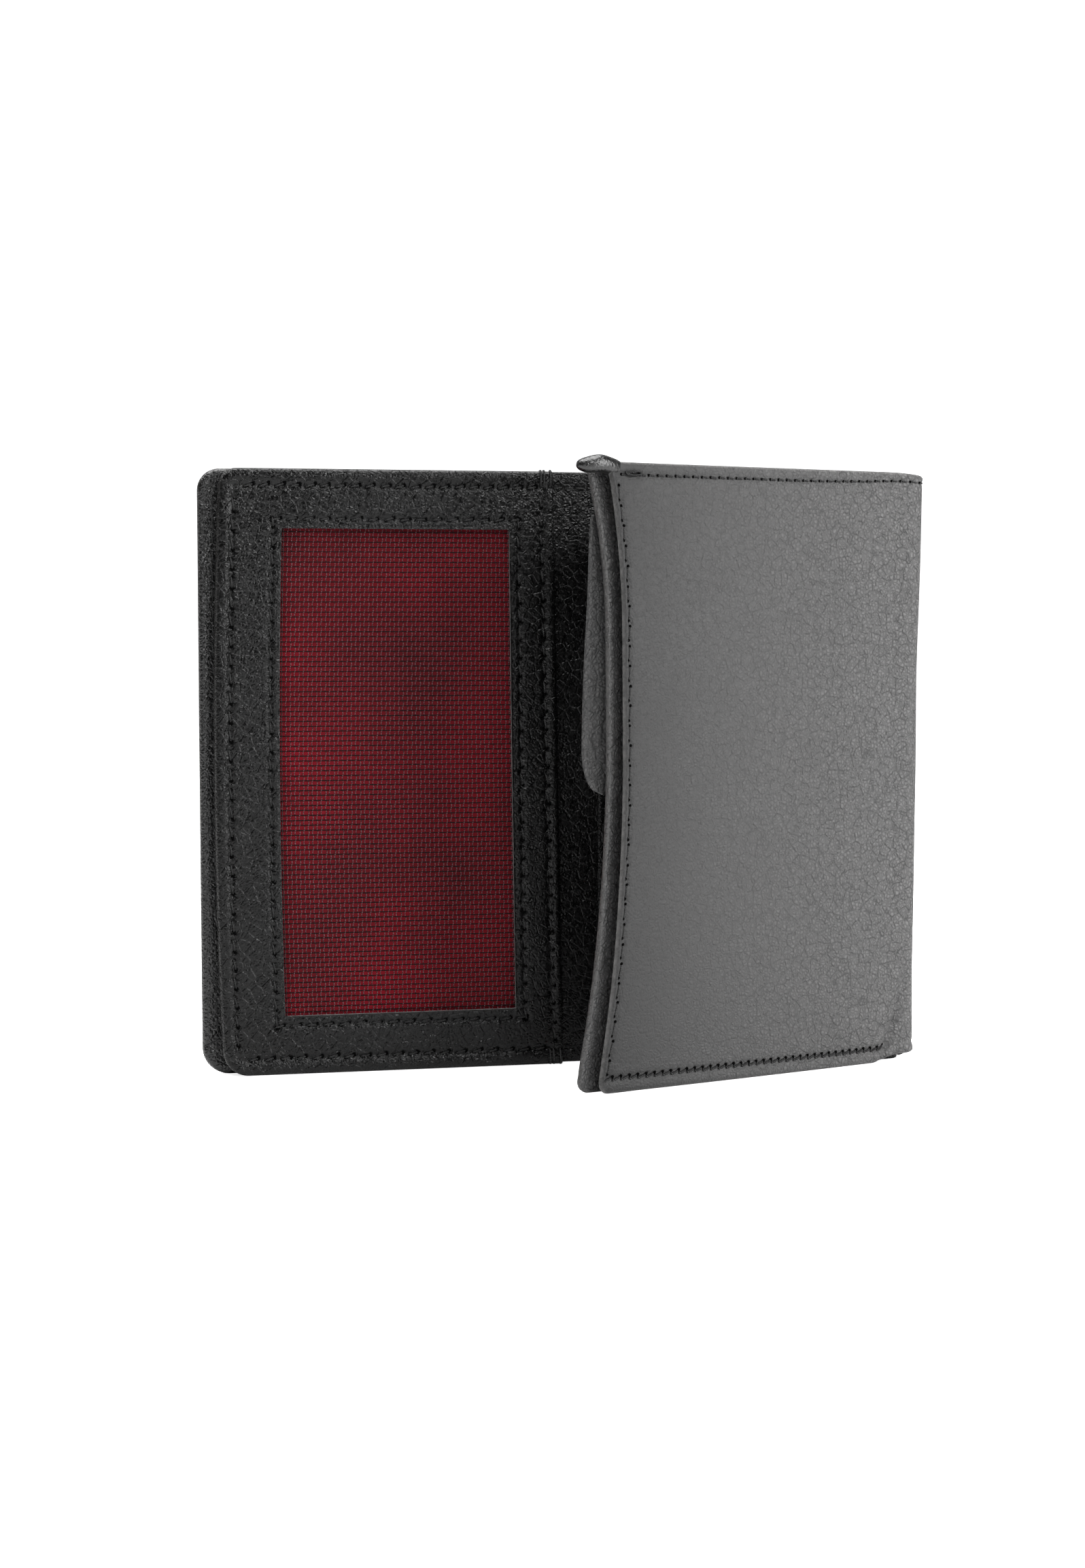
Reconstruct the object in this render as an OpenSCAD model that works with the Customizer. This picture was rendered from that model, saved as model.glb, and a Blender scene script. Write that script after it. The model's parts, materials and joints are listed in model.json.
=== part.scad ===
// Trifold wallet standing on its bottom edges. The left panel is open flat and holds a mesh ID window,
// the right panel is a flap folded forward over the centre. X runs right, Y away from the front, Z up.
// The origin is in the middle of the centre panel's bottom edge, half way through the shell leather.

/* [Panels] */
// Height of the wallet
panel_h = 110; // [100:1:120]
// Width of the centre panel between its two outer bend lines
centre_w = 60.6; // [58:0.1:66]
// Width of the left outer leaf, from its free edge to its bend line
left_outer_w = 60; // [58:0.5:64]
// How far the left inner leaf stops short of the outer leaf's free edge
left_inset = 3; // [2:0.25:4]
// Width of the flap's outer leaf, from its bend line to its free edge
flap_outer_w = 67; // [64:0.5:69]
// Width of the flap's inner leaf, from its own bend line to its free edge
flap_inner_w = 68; // [65:0.5:70]
// Radius of the free corners
corner_r = 4; // [2:0.5:6]

/* [Layers] */
// Thickness of the shell leather
shell_t = 0.9; // [0.7:0.05:1.2]
// Thickness of the stiffening board in the shell
stiffener_t = 0.3; // [0.2:0.05:0.4]
// Thickness of the burgundy lining
lining_t = 0.3; // [0.2:0.05:0.4]
// Gap of the empty bill compartment
bill_gap = 0.5; // [0.3:0.1:1]
// Thickness of the inner leaf's base leather
base_t = 0.6; // [0.5:0.05:0.8]
// Thickness of the leather of one card slot
slot_t = 0.6; // [0.4:0.05:0.65]
// Thickness of the slip pocket on the flap
slip_t = 0.8; // [0.6:0.05:1]

/* [ID pocket] */
// Width of the window
window_w = 42.2; // [38:0.2:46]
// Height of the window
window_h = 88.5; // [80:0.5:92]
// Distance from the inner leaf's free edge to the window
window_inset = 11.6; // [10:0.2:13]
// Thickness of the frame leather around the window
frame_t = 0.9; // [0.7:0.05:1]
// Thickness of the mesh
mesh_t = 0.3; // [0.2:0.05:0.4]
// Thickness of the fabric backing behind the card
backing_t = 0.2; // [0.15:0.05:0.3]
// Room for one card between the mesh and the backing
card_gap = 0.5; // [0.4:0.1:1]

/* [Seams] */
// Distance of a seam from its edge
seam_inset = 3; // [2:0.1:4]
// Pitch of the long stitches
stitch_pitch = 3.4; // [2.5:0.1:4]
// Pitch of the short stitches on the flap
short_pitch = 1.8; // [1.4:0.1:2.5]
// Diameter of the thread
thread_d = 0.35; // [0.2:0.05:0.5]

/* [Pose] */
// Angle between the flap and the centre panel
flap_angle = 19; // [6:1:60]

/* [Hidden] */

leather_black = [0.05, 0.05, 0.05];
leather_flap = [0.17, 0.17, 0.17];
burgundy = [0.36, 0.03, 0.07];
mesh_red = [0.5, 0.2, 0.25];
thread_black = [0.02, 0.02, 0.02];
board_grey = [0.45, 0.43, 0.4];

arc_detail = 64;
// Gaps between a bend and a flat leaf, between folded leaves, and between a lining and a hem
bend_clear = 0.1;
leaf_clear = 0.3;
hem_clear = 0.6;
// Gap between the outer and the inner leaf where the flap folds
fold_clear = 0.4;
// How far a stiffening board stays away from a bend
board_clear = 1;
// Distance from the outer bend line to the left panel's axis, and from there to the pocket mouth
axis_inset = 2.2;
mouth_gap = 1.2;
// How far the inner leaf's base stays behind the pocket mouth
base_inset = 2.3;
// How far the soft fold strip reaches over the centre panel
fold_strip_w = 2.8;
// First card slot's distance from the fold strip, and the step to the next slot
slot_start = 2;
slot_step = 6;
slot_clear = 0.3;
slot_margin = 0.2;
// Distances of the short outer seams from the bottom edge, the top edge and the flap's free edge
hem_low = 2.6;
hem_high = 2;
hem_free = 1.3;
// Distance of the window's seam from the window, and of the hem seam from the pocket mouth
window_seam = 1.7;
mouth_seam = 2;
// Distance of the outer bar tack from the pocket mouth
tack_edge = 0.8;
// How far the mesh reaches under the frame
mesh_tuck = 3;
// How far the slip pocket's mouth stays behind the flap's free edge
slip_inset = 4;
// Distance of the slip pocket's upright seam from the flap's inner bend line
slip_seam = 4.5;
// How far a row of stitches stops short of a seam that crosses it
row_clear = 1;
// Share of a pitch that a stitch covers, and where in its pitch it starts
stitch_share = 0.65;
stitch_start = 0.2;

// Depths of the layers of the open wallet, from the back face to the front
y_back = shell_t / 2;
y_shell = y_back - shell_t;
y_stiffener = y_shell - stiffener_t;
y_outer = y_stiffener - lining_t;
y_bill = y_outer - bill_gap;
y_inner_lining = y_bill - lining_t;
y_base = y_inner_lining - base_t;
y_backing = y_base - backing_t;
y_mesh_back = y_backing - card_gap;
y_mesh = y_mesh_back - mesh_t;
y_frame = y_mesh - frame_t;
y_slip = y_base - slip_t;
thread_proud = thread_d / 2;
y_thread = y_back + thread_proud;

// Bend lines. Each one runs through the middle of its leaf.
outer_mid = (y_back + y_outer) / 2;
outer_r = (y_back - y_outer) / 2;
inner_mid = (y_bill + y_base) / 2;
inner_r = (y_bill - y_base) / 2;
left_axis_y = y_frame - leaf_clear;
left_spine_w = 2 * (outer_mid - left_axis_y);
left_bend_a = -centre_w / 2;
left_bend_b = left_bend_a - left_spine_w;
left_axis_x = left_bend_a - axis_inset;
folded_left_y = 2 * left_axis_y - y_back;
flap_front_y = folded_left_y - leaf_clear - thread_proud;
flap_back_y = flap_front_y - (y_back - y_slip);
right_spine_w = outer_mid - (flap_back_y + outer_r);
right_bend_a = centre_w / 2;
right_bend_b = right_bend_a + right_spine_w;
inner_spine_w = right_spine_w - 2 * (outer_mid - inner_mid);
inner_bend_a = right_bend_a - outer_r - inner_r - fold_clear;
inner_bend_b = inner_bend_a + inner_spine_w;
fold_half = (180 - flap_angle) / 2;

// Free edges and the ends of the rigid leaves
left_free = left_bend_b - left_outer_w;
left_inner_free = left_free + left_inset;
mouth_x = left_axis_x - mouth_gap;
left_base_end = mouth_x - base_inset;
fold_strip_end = left_bend_a + fold_strip_w;
right_free = right_bend_b + flap_outer_w;
right_inner_free = inner_bend_b + flap_inner_w;
outer_end = outer_r + bend_clear;
inner_end = inner_r + bend_clear;
slot_right = inner_bend_a - inner_end - slot_clear;
slot_mouths = [for (i = [0 : 2]) fold_strip_end + slot_start + i * slot_step];
window_x = left_inner_free + window_inset;
window_z = (panel_h - window_h) / 2;
slip_mouth = right_inner_free - slip_inset;

// Turns its children about the vertical line through x, y
module turn(x, y, angle) {
    translate([x, y, 0]) rotate([0, 0, angle]) translate([-x, -y, 0]) children();
}

// Folds the flap's outer leaf from the open wallet to its place
module fold_outer() {
    turn(right_bend_a, outer_mid, -fold_half) turn(right_bend_b, outer_mid, -fold_half) children();
}

// Folds the flap's inner leaf from the open wallet to its place
module fold_inner() {
    turn(inner_bend_a, inner_mid, -fold_half) turn(inner_bend_b, inner_mid, -fold_half) children();
}

// A flat layer: its children drawn in X and Z, from depth y_from back to depth y_to
module layer(y_from, y_to) {
    translate([0, y_to, 0]) rotate([90, 0, 0]) linear_extrude(y_to - y_from) children();
}

// Outline of a leaf between two X values, with round corners at the first one
module leaf(x_free, x_fold, margin, r) {
    side = sign(x_fold - x_free);
    low = min(x_free + side * r, x_fold);
    high = max(x_free + side * r, x_fold);
    translate([low, margin]) square([high - low, panel_h - 2 * margin]);
    translate([min(x_free, x_free + side * r), margin + r]) square([r, panel_h - 2 * margin - 2 * r]);
    for (z = [margin + r, panel_h - margin - r]) {
        translate([x_free + side * r, z]) circle(r, $fn = arc_detail);
    }
}

// Outline of a plain rectangle between two X values
module strip(x_a, x_b, margin) {
    translate([min(x_a, x_b), margin]) square([abs(x_b - x_a), panel_h - 2 * margin]);
}

// A bend strip: a plate with round edges on its two bend lines, cut to the depths given
module bend_strip(x_a, x_b, y_mid, r, y_from, y_to, margin) {
    intersection() {
        translate([0, 0, margin]) linear_extrude(panel_h - 2 * margin) {
            translate([x_a, y_mid - r]) square([x_b - x_a, 2 * r]);
            for (x = [x_a, x_b]) {
                translate([x, y_mid]) circle(r, $fn = arc_detail);
            }
        }
        translate([x_a - 2 * r, y_from, 0]) cube([x_b - x_a + 4 * r, y_to - y_from, panel_h]);
    }
}

// Stitches along X at height z, lying in front of depth y
module stitches_x(x_a, x_b, z, y, pitch) {
    count = floor(abs(x_b - x_a) / pitch);
    for (i = [0 : count - 1]) {
        translate([min(x_a, x_b) + (i + stitch_start) * pitch, y - thread_proud, z - thread_d / 2])
            cube([stitch_share * pitch, thread_proud, thread_d]);
    }
}

// Stitches along Z at x, lying in front of depth y
module stitches_z(x, z_a, z_b, y, pitch) {
    count = floor((z_b - z_a) / pitch);
    for (i = [0 : count - 1]) {
        translate([x - thread_d / 2, y - thread_proud, z_a + (i + stitch_start) * pitch])
            cube([thread_d, thread_proud, stitch_share * pitch]);
    }
}

// Grooves in the back face, in which the short outer stitches lie flush
module back_grooves(x_a, x_b) {
    for (z = [hem_low, panel_h - hem_high]) {
        translate([x_a, y_back - thread_proud, z - thread_d]) cube([x_b - x_a, thread_d, 2 * thread_d]);
    }
}

module shell_centre() {
    color(leather_flap) difference() {
        layer(y_shell, y_back) strip(left_bend_a + outer_end, right_bend_a - outer_end, 0);
        back_grooves(left_bend_a, right_bend_a);
    }
}

module stiffener_centre() {
    color(board_grey) layer(y_stiffener, y_shell)
        strip(left_bend_a + outer_end + board_clear, right_bend_a - outer_end - board_clear, seam_inset);
}

module lining_centre() {
    color(burgundy) layer(y_outer, y_stiffener)
        strip(left_bend_a + outer_end, right_bend_a - outer_end, hem_clear);
}

module inner_lining_centre() {
    color(burgundy) layer(y_inner_lining, y_bill)
        strip(fold_strip_end, inner_bend_a - inner_end, hem_clear);
}

module inner_base_centre() {
    color(leather_black) layer(y_base, y_inner_lining)
        strip(fold_strip_end, inner_bend_a - inner_end, 0);
}

// One card slot: the leather behind a mouth that faces the left fold
module card_slot(index) {
    color(leather_black) layer(y_base - (index + 1) * slot_t, y_base - index * slot_t)
        strip(slot_mouths[index], slot_right, slot_margin);
}

module card_slot_back() {
    card_slot(0);
}

module card_slot_middle() {
    card_slot(1);
}

module card_slot_front() {
    card_slot(2);
}

module card_slot_thread() {
    y = y_base - 3 * slot_t;
    color(thread_black) {
        stitches_z(slot_right - seam_inset / 2, seam_inset, panel_h - seam_inset, y, stitch_pitch);
        for (z = [seam_inset, panel_h - seam_inset]) {
            stitches_x(slot_mouths[2] + row_clear, slot_right - seam_inset, z, y, stitch_pitch);
        }
    }
}

module shell_centre_thread() {
    color(thread_black) for (z = [hem_low, panel_h - hem_high]) {
        stitches_x(left_bend_a + outer_end, right_bend_a - outer_end, z, y_back, short_pitch);
    }
}

module fold_seam_thread() {
    color(thread_black) for (z = [seam_inset, panel_h - seam_inset]) {
        stitches_x(mouth_x + slot_clear, slot_mouths[0] - slot_clear, z, y_base, stitch_pitch / 2);
    }
}

module inner_fold_left() {
    color(leather_black) layer(y_base, y_bill)
        strip(left_base_end + bend_clear, fold_strip_end, 0);
}

module spine_left_shell() {
    color(leather_flap)
        bend_strip(left_bend_b, left_bend_a, outer_mid, outer_r, y_shell, y_back, 0);
}

module spine_left_lining() {
    color(burgundy)
        bend_strip(left_bend_b, left_bend_a, outer_mid, outer_r, y_outer, y_shell, hem_clear);
}

module shell_left() {
    color(leather_flap) difference() {
        layer(y_shell, y_back) leaf(left_free, left_bend_b - outer_end, 0, corner_r);
        back_grooves(left_free + corner_r, left_bend_b);
    }
}

module stiffener_left() {
    color(board_grey) layer(y_stiffener, y_shell)
        leaf(left_free + seam_inset, left_bend_b - outer_end - board_clear, seam_inset, corner_r / 2);
}

module lining_left() {
    color(burgundy) layer(y_outer, y_stiffener)
        leaf(left_free + hem_clear, left_bend_b - outer_end, hem_clear, corner_r);
}

module shell_left_thread() {
    color(thread_black) {
        stitches_z(left_free + seam_inset - thread_d, corner_r, panel_h - corner_r, y_outer, stitch_pitch);
        for (z = [hem_low, panel_h - hem_high]) {
            stitches_x(left_free + corner_r, left_bend_b - outer_end, z, y_back, short_pitch);
        }
    }
}

module inner_lining_left() {
    color(burgundy) layer(y_inner_lining, y_bill)
        leaf(left_inner_free + hem_clear, left_base_end, hem_clear, corner_r);
}

module inner_base_left() {
    color(leather_black) layer(y_base, y_inner_lining)
        leaf(left_inner_free, left_base_end, 0, corner_r);
}

module id_backing() {
    color(burgundy) layer(y_backing, y_base)
        leaf(left_inner_free + seam_inset, left_base_end, seam_inset, corner_r / 2);
}

module id_mesh() {
    color(mesh_red) layer(y_mesh, y_mesh_back)
        translate([window_x - mesh_tuck, window_z - mesh_tuck])
            square([window_w + 2 * mesh_tuck, window_h + 2 * mesh_tuck]);
}

// The frame's window, drawn in X and Z
module window_outline() {
    translate([window_x, window_z]) square([window_w, window_h]);
}

module id_frame() {
    color(leather_black) {
        layer(y_frame, y_mesh) difference() {
            leaf(left_inner_free, mouth_x, 0, corner_r);
            window_outline();
        }
        // The turned hem fills the space down to the base along the three closed sides
        layer(y_mesh, y_base) difference() {
            leaf(left_inner_free, mouth_x, 0, corner_r);
            translate([left_inner_free + seam_inset, seam_inset])
                square([mouth_x - left_inner_free, panel_h - 2 * seam_inset]);
        }
    }
}

module id_perimeter_thread() {
    color(thread_black) {
        for (z = [seam_inset, panel_h - seam_inset]) {
            stitches_x(left_inner_free + seam_inset, mouth_x, z, y_frame, stitch_pitch);
        }
        stitches_z(left_inner_free + seam_inset - thread_d, seam_inset, panel_h - seam_inset, y_frame,
            stitch_pitch);
    }
}

module id_window_thread() {
    color(thread_black) {
        for (x = [window_x - window_seam, window_x + window_w + window_seam]) {
            stitches_z(x, window_z - window_seam, window_z + window_h + window_seam, y_frame, stitch_pitch);
        }
        for (z = [window_z - window_seam, window_z + window_h + window_seam]) {
            stitches_x(window_x - window_seam, window_x + window_w + window_seam, z, y_frame, stitch_pitch);
        }
    }
}

module id_mouth_thread() {
    color(thread_black)
        stitches_z(mouth_x - mouth_seam, seam_inset + row_clear, panel_h - seam_inset - row_clear, y_frame,
            stitch_pitch);
}

// Short reinforcing stitches that go over the leaf's top and bottom edges at the pocket mouth
module bar_tacks() {
    color(thread_black) for (x = [mouth_x - mouth_seam, mouth_x - tack_edge]) {
        for (z = [0, panel_h - seam_inset]) {
            translate([x - thread_d / 2, y_frame - thread_proud, z])
                cube([thread_d, thread_proud, seam_inset]);
        }
    }
}

module spine_right_shell() {
    color(leather_flap) turn(right_bend_a, outer_mid, -fold_half)
        bend_strip(right_bend_a, right_bend_b, outer_mid, outer_r, y_shell, y_back, 0);
}

module spine_right_lining() {
    color(burgundy) turn(right_bend_a, outer_mid, -fold_half)
        bend_strip(right_bend_a, right_bend_b, outer_mid, outer_r, y_outer, y_shell, hem_clear);
}

module inner_spine_right() {
    color(leather_black) turn(inner_bend_a, inner_mid, -fold_half)
        bend_strip(inner_bend_a, inner_bend_b, inner_mid, inner_r, y_base, y_inner_lining, 0);
}

module inner_spine_right_lining() {
    color(burgundy) turn(inner_bend_a, inner_mid, -fold_half)
        bend_strip(inner_bend_a, inner_bend_b, inner_mid, inner_r, y_inner_lining, y_bill, hem_clear);
}

module shell_right() {
    color(leather_flap) fold_outer() layer(y_shell, y_back)
        leaf(right_free, right_bend_b + outer_end, 0, corner_r / 2);
}

module stiffener_right() {
    color(board_grey) fold_outer() layer(y_stiffener, y_shell)
        leaf(right_free - seam_inset, right_bend_b + outer_end + board_clear, seam_inset, corner_r / 2);
}

module lining_right() {
    color(burgundy) fold_outer() layer(y_outer, y_stiffener)
        leaf(right_free - hem_clear, right_bend_b + outer_end, hem_clear, corner_r / 2);
}

module flap_edge_thread() {
    color(thread_black) fold_outer()
        stitches_z(right_free - hem_free, seam_inset, panel_h - seam_inset, y_thread, stitch_pitch);
}

module flap_top_thread() {
    color(thread_black) fold_outer()
        stitches_x(right_bend_b + outer_end, right_free - hem_free, panel_h - hem_high, y_thread,
            short_pitch);
}

module flap_bottom_thread() {
    color(thread_black) fold_outer()
        stitches_x(right_bend_b + outer_end + seam_inset, right_free - hem_free, hem_low, y_thread,
            short_pitch);
}

module inner_lining_right() {
    color(burgundy) fold_inner() layer(y_inner_lining, y_bill)
        leaf(right_inner_free - hem_clear, inner_bend_b + inner_end, hem_clear, corner_r / 2);
}

module inner_base_right() {
    color(leather_black) fold_inner() layer(y_base, y_inner_lining)
        leaf(right_inner_free, inner_bend_b + inner_end, 0, corner_r / 2);
}

module slip_pocket() {
    color(leather_black) fold_inner() layer(y_slip, y_base)
        strip(inner_bend_b + inner_end + slip_t + board_clear, slip_mouth, slot_margin);
}

module slip_pocket_thread() {
    color(thread_black) fold_inner() {
        for (z = [seam_inset, panel_h - seam_inset]) {
            stitches_x(inner_bend_b + slip_seam + thread_d, slip_mouth - row_clear, z, y_slip, stitch_pitch);
        }
        stitches_z(inner_bend_b + slip_seam, seam_inset, panel_h - seam_inset, y_slip, stitch_pitch);
    }
}

shell_centre();
stiffener_centre();
lining_centre();
inner_lining_centre();
inner_base_centre();
card_slot_back();
card_slot_middle();
card_slot_front();
card_slot_thread();
shell_centre_thread();
inner_fold_left();
fold_seam_thread();
spine_left_shell();
spine_left_lining();
shell_left();
stiffener_left();
lining_left();
shell_left_thread();
inner_lining_left();
inner_base_left();
id_backing();
id_mesh();
id_frame();
id_perimeter_thread();
id_window_thread();
id_mouth_thread();
bar_tacks();
spine_right_shell();
spine_right_lining();
inner_spine_right();
inner_spine_right_lining();
shell_right();
stiffener_right();
lining_right();
flap_edge_thread();
flap_top_thread();
flap_bottom_thread();
inner_lining_right();
inner_base_right();
slip_pocket();
slip_pocket_thread();
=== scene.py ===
"""Black leather trifold wallet standing open, with a mesh ID window and a flap folded forward."""

import json
import math

import bpy
import numpy as np
from mathutils import Matrix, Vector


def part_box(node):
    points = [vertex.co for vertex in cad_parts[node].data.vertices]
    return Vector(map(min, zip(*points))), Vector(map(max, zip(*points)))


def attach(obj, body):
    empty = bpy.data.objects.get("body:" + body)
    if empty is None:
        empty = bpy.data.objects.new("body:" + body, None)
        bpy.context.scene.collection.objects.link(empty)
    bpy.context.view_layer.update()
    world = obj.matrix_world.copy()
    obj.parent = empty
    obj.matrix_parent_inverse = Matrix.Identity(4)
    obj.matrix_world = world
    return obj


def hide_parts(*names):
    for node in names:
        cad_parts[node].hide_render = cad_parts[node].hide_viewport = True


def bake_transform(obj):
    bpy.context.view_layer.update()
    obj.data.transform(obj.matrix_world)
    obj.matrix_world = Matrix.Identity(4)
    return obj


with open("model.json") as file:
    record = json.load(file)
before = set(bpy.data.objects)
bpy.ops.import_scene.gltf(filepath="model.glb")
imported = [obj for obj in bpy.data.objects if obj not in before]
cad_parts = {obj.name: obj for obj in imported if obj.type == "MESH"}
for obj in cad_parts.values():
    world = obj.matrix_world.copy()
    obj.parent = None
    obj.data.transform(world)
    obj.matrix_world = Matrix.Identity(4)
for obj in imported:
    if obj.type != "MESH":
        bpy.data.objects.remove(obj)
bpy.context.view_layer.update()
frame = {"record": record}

# ---- Sizes, all in millimetres, from the CAD frame
MM = 0.001


def box(node):
    low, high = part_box(node)
    return np.array(low) / MM, np.array(high) / MM


joints = {j["name"]: j for j in frame["record"]["behaviour"]["joints"]}


def hinge(name):
    return np.array(joints[name]["pos_m"][:2]) / MM


HEIGHT = box("id_frame")[1][2]
Y_BACK = box("shell_left")[1][1]
Y_SHELL = box("shell_left")[0][1]
Y_BOARD = box("stiffener_left")[0][1]
Y_OUTER = box("lining_left")[0][1]
Y_BILL = box("inner_lining_left")[1][1]
Y_INNER = box("inner_base_left")[1][1]
Y_BASE = box("inner_base_left")[0][1]
Y_MESH = box("id_mesh")[0][1]
Y_MESH_BACK = box("id_mesh")[1][1]
Y_FRAME = box("id_frame")[0][1]

LEFT_FREE = box("shell_left")[0][0]
INNER_FREE = box("id_frame")[0][0]
MOUTH = box("id_frame")[1][0]
BASE_END = box("inner_base_left")[1][0]
STRIP_END = box("inner_fold_left")[1][0]
MESH_TUCK = 3.0
WIN_LOW = box("id_mesh")[0] + MESH_TUCK
WIN_HIGH = box("id_mesh")[1] - MESH_TUCK

HALF = math.radians(joints["flap_fold"]["range_deg"][1])
OUTER_A = hinge("flap_fold")
OUTER_SPINE = float(np.linalg.norm(hinge("flap_outer_bend_b") - OUTER_A))
OUTER_B = OUTER_A + [OUTER_SPINE, 0]
INNER_A = hinge("flap_inner_bend_a")
INNER_SPINE = float(np.linalg.norm(hinge("flap_inner_bend_b") - INNER_A))
INNER_B = INNER_A + [INNER_SPINE, 0]
LEFT_A = hinge("left_fold")
LEFT_B = hinge("left_outer_bend_b")
LEFT_AXIS = hinge("left_inner_fold")
# How far the flap's two leaves reach past their second crease
OUTER_FREE = OUTER_B[0] + 67.0
FLAP_INNER_FREE = INNER_B[0] + 68.0

CORNER = 4.0
HEM = 5.5
THREAD_R = 0.17
# Height of the seams along the inner leaves' long edges, and the same below the top
ROWS = (3.0, HEIGHT - 3.0)
RNG = np.random.default_rng(7)


def smooth(t):
    t = np.clip(t, 0, 1)
    return t * t * (3 - 2 * t)


def bump(x, centre, width):
    return np.exp(-(((x - centre) / width) ** 2))


# ---- Zones: which bodies a stretch of the open wallet moves with, and how it is folded at rest
def turned(p, pivot, angle):
    c, s = np.cos(angle), np.sin(angle)
    x, y = p[:, 0] - pivot[0], p[:, 1] - pivot[1]
    return np.column_stack([pivot[0] + c * x - s * y, pivot[1] + s * x + c * y, p[:, 2]])


class Zone:
    """A stretch of a leaf, drawn flat from x0 to x1, then put in its rest place and joined to its body if it
    has only one; a stretch over two bodies is joined to neither.
    """

    def __init__(self, tag, x0, x1, bodies, pivot=None, reach=0.0, angle=0.0, then=(), at=None):
        self.tag, self.x0, self.x1, self.bodies = tag, x0, x1, bodies
        self.pivot, self.reach, self.angle, self.then = pivot, reach, angle, then
        self.at = at if at is not None else pivot

    def _after(self, p):
        for pivot, angle in self.then:
            p = turned(p, pivot, angle)
        return p

    def ends(self):
        """Start and end of the bend on the leaf's middle line, at rest."""
        x, y = self.at
        middle = np.array([[x - self.reach, y, 0], [x + self.reach, y, 0]])
        a = self._after(middle[:1])[0]
        b = self._after(turned(middle[1:], self.pivot, self.angle))[0]
        return a, b

    def place(self, p):
        """Bend p by a share of the angle that runs from 0 to 1 along the bend, found by halving."""
        if len(self.bodies) == 1 or self.angle == 0:
            return self._after(p)
        a, b = self.ends()
        d = b - a
        low, high = np.zeros(len(p)), np.ones(len(p))
        for _ in range(32):
            w = (low + high) / 2
            q = self._after(turned(p, self.pivot, w * self.angle))
            over = smooth(((q - a) @ d) / (d @ d)) > w
            low, high = np.where(over, w, low), np.where(over, high, w)
        return self._after(turned(p, self.pivot, low * self.angle))

    def join(self, obj):
        if len(self.bodies) == 1:
            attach(obj, self.bodies[0])
        else:
            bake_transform(obj)


# How far each bend reaches on either side of its crease: left, flap's outer leaf, flap's inner leaf
L_REACH = 4.3
O_REACH = 6.0
I_REACH = 4.5
LEFT_MID = (LEFT_A[0] + LEFT_B[0]) / 2
OUTER_MID = OUTER_A[0] + OUTER_SPINE / 2
INNER_MID = INNER_A[0] + INNER_SPINE / 2
FLAP_START = OUTER_B[0] + O_REACH
INNER_FLAP_START = INNER_B[0] + I_REACH
FOLD_OUTER = [(OUTER_B, -HALF), (OUTER_A, -HALF)]
FOLD_INNER = [(INNER_B, -HALF), (INNER_A, -HALF)]


def by_tag(*zones):
    return {zone.tag: zone for zone in zones}


OUTER_ZONES = by_tag(
    Zone("left", LEFT_FREE, LEFT_B[0] - L_REACH, ["left_outer"]),
    Zone("left_bend_b", LEFT_B[0] - L_REACH, LEFT_MID, ["left_outer", "left_spine"], LEFT_B, L_REACH),
    Zone("left_bend_a", LEFT_MID, LEFT_A[0] + L_REACH, ["left_spine", "centre"], LEFT_A, L_REACH),
    Zone("centre", LEFT_A[0] + L_REACH, OUTER_A[0] - O_REACH, ["centre"]),
    Zone("right_bend_a", OUTER_A[0] - O_REACH, OUTER_MID, ["centre", "right_spine"], OUTER_A, O_REACH, -HALF),
    Zone("right_bend_b", OUTER_MID, FLAP_START, ["right_spine", "flap_outer"], OUTER_B, O_REACH, -HALF,
         FOLD_OUTER[1:]),
    Zone("flap", FLAP_START, OUTER_FREE, ["flap_outer"], then=FOLD_OUTER),
)
INNER_ZONES = by_tag(
    Zone("left", INNER_FREE, BASE_END, ["left_inner"]),
    Zone("left_bend", BASE_END, STRIP_END, ["left_inner", "centre"], LEFT_AXIS, (STRIP_END - BASE_END) / 2,
         at=np.array([(STRIP_END + BASE_END) / 2, Y_BASE])),
    Zone("centre", STRIP_END, INNER_A[0] - I_REACH, ["centre"]),
    Zone("right_bend_a", INNER_A[0] - I_REACH, INNER_MID, ["centre", "right_inner_spine"], INNER_A, I_REACH,
         -HALF),
    Zone("right_bend_b", INNER_MID, INNER_FLAP_START, ["right_inner_spine", "flap_inner"], INNER_B, I_REACH,
         -HALF, FOLD_INNER[1:]),
    Zone("flap", INNER_FLAP_START, FLAP_INNER_FREE, ["flap_inner"], then=FOLD_INNER),
)


# ---- How the real leather departs from flat: bows, leans and swellings, in flat coordinates
def flap_share(x, start):
    """0 at the end of the flap's bend, 1 at its free edge."""
    return np.clip((x - start) / 61.0, 0, 1.15)


def edge_cut(z, waist):
    """How much further out the flap's free edge is than a straight one: less in the middle."""
    low = (waist + 2.3) * np.clip((58 - z) / 58, 0, 1) ** 1.8
    high = (waist + 1.4) * np.clip((z - 82) / 27, 0, 1) ** 2
    return -waist + low + high


def flap_bulge(z):
    """How far the free edge stands forward."""
    return 1.6 * np.sin(np.pi * np.clip((z - 6) / 112, 0, 1)) - 1.2 * np.clip(1 - z / 30, 0, 1) ** 2


def warp_flap(p, start, waist):
    u = flap_share(p[:, 0], start)
    p = p.copy()
    z = p[:, 2]
    p[:, 1] += flap_bulge(z) * u**2 + 0.18 * np.sin(p[:, 0] * 0.11 + 1.3) * np.sin(z * 0.06) * smooth(u * 4)
    p[:, 0] += edge_cut(z, waist) * u**3
    return p


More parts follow.
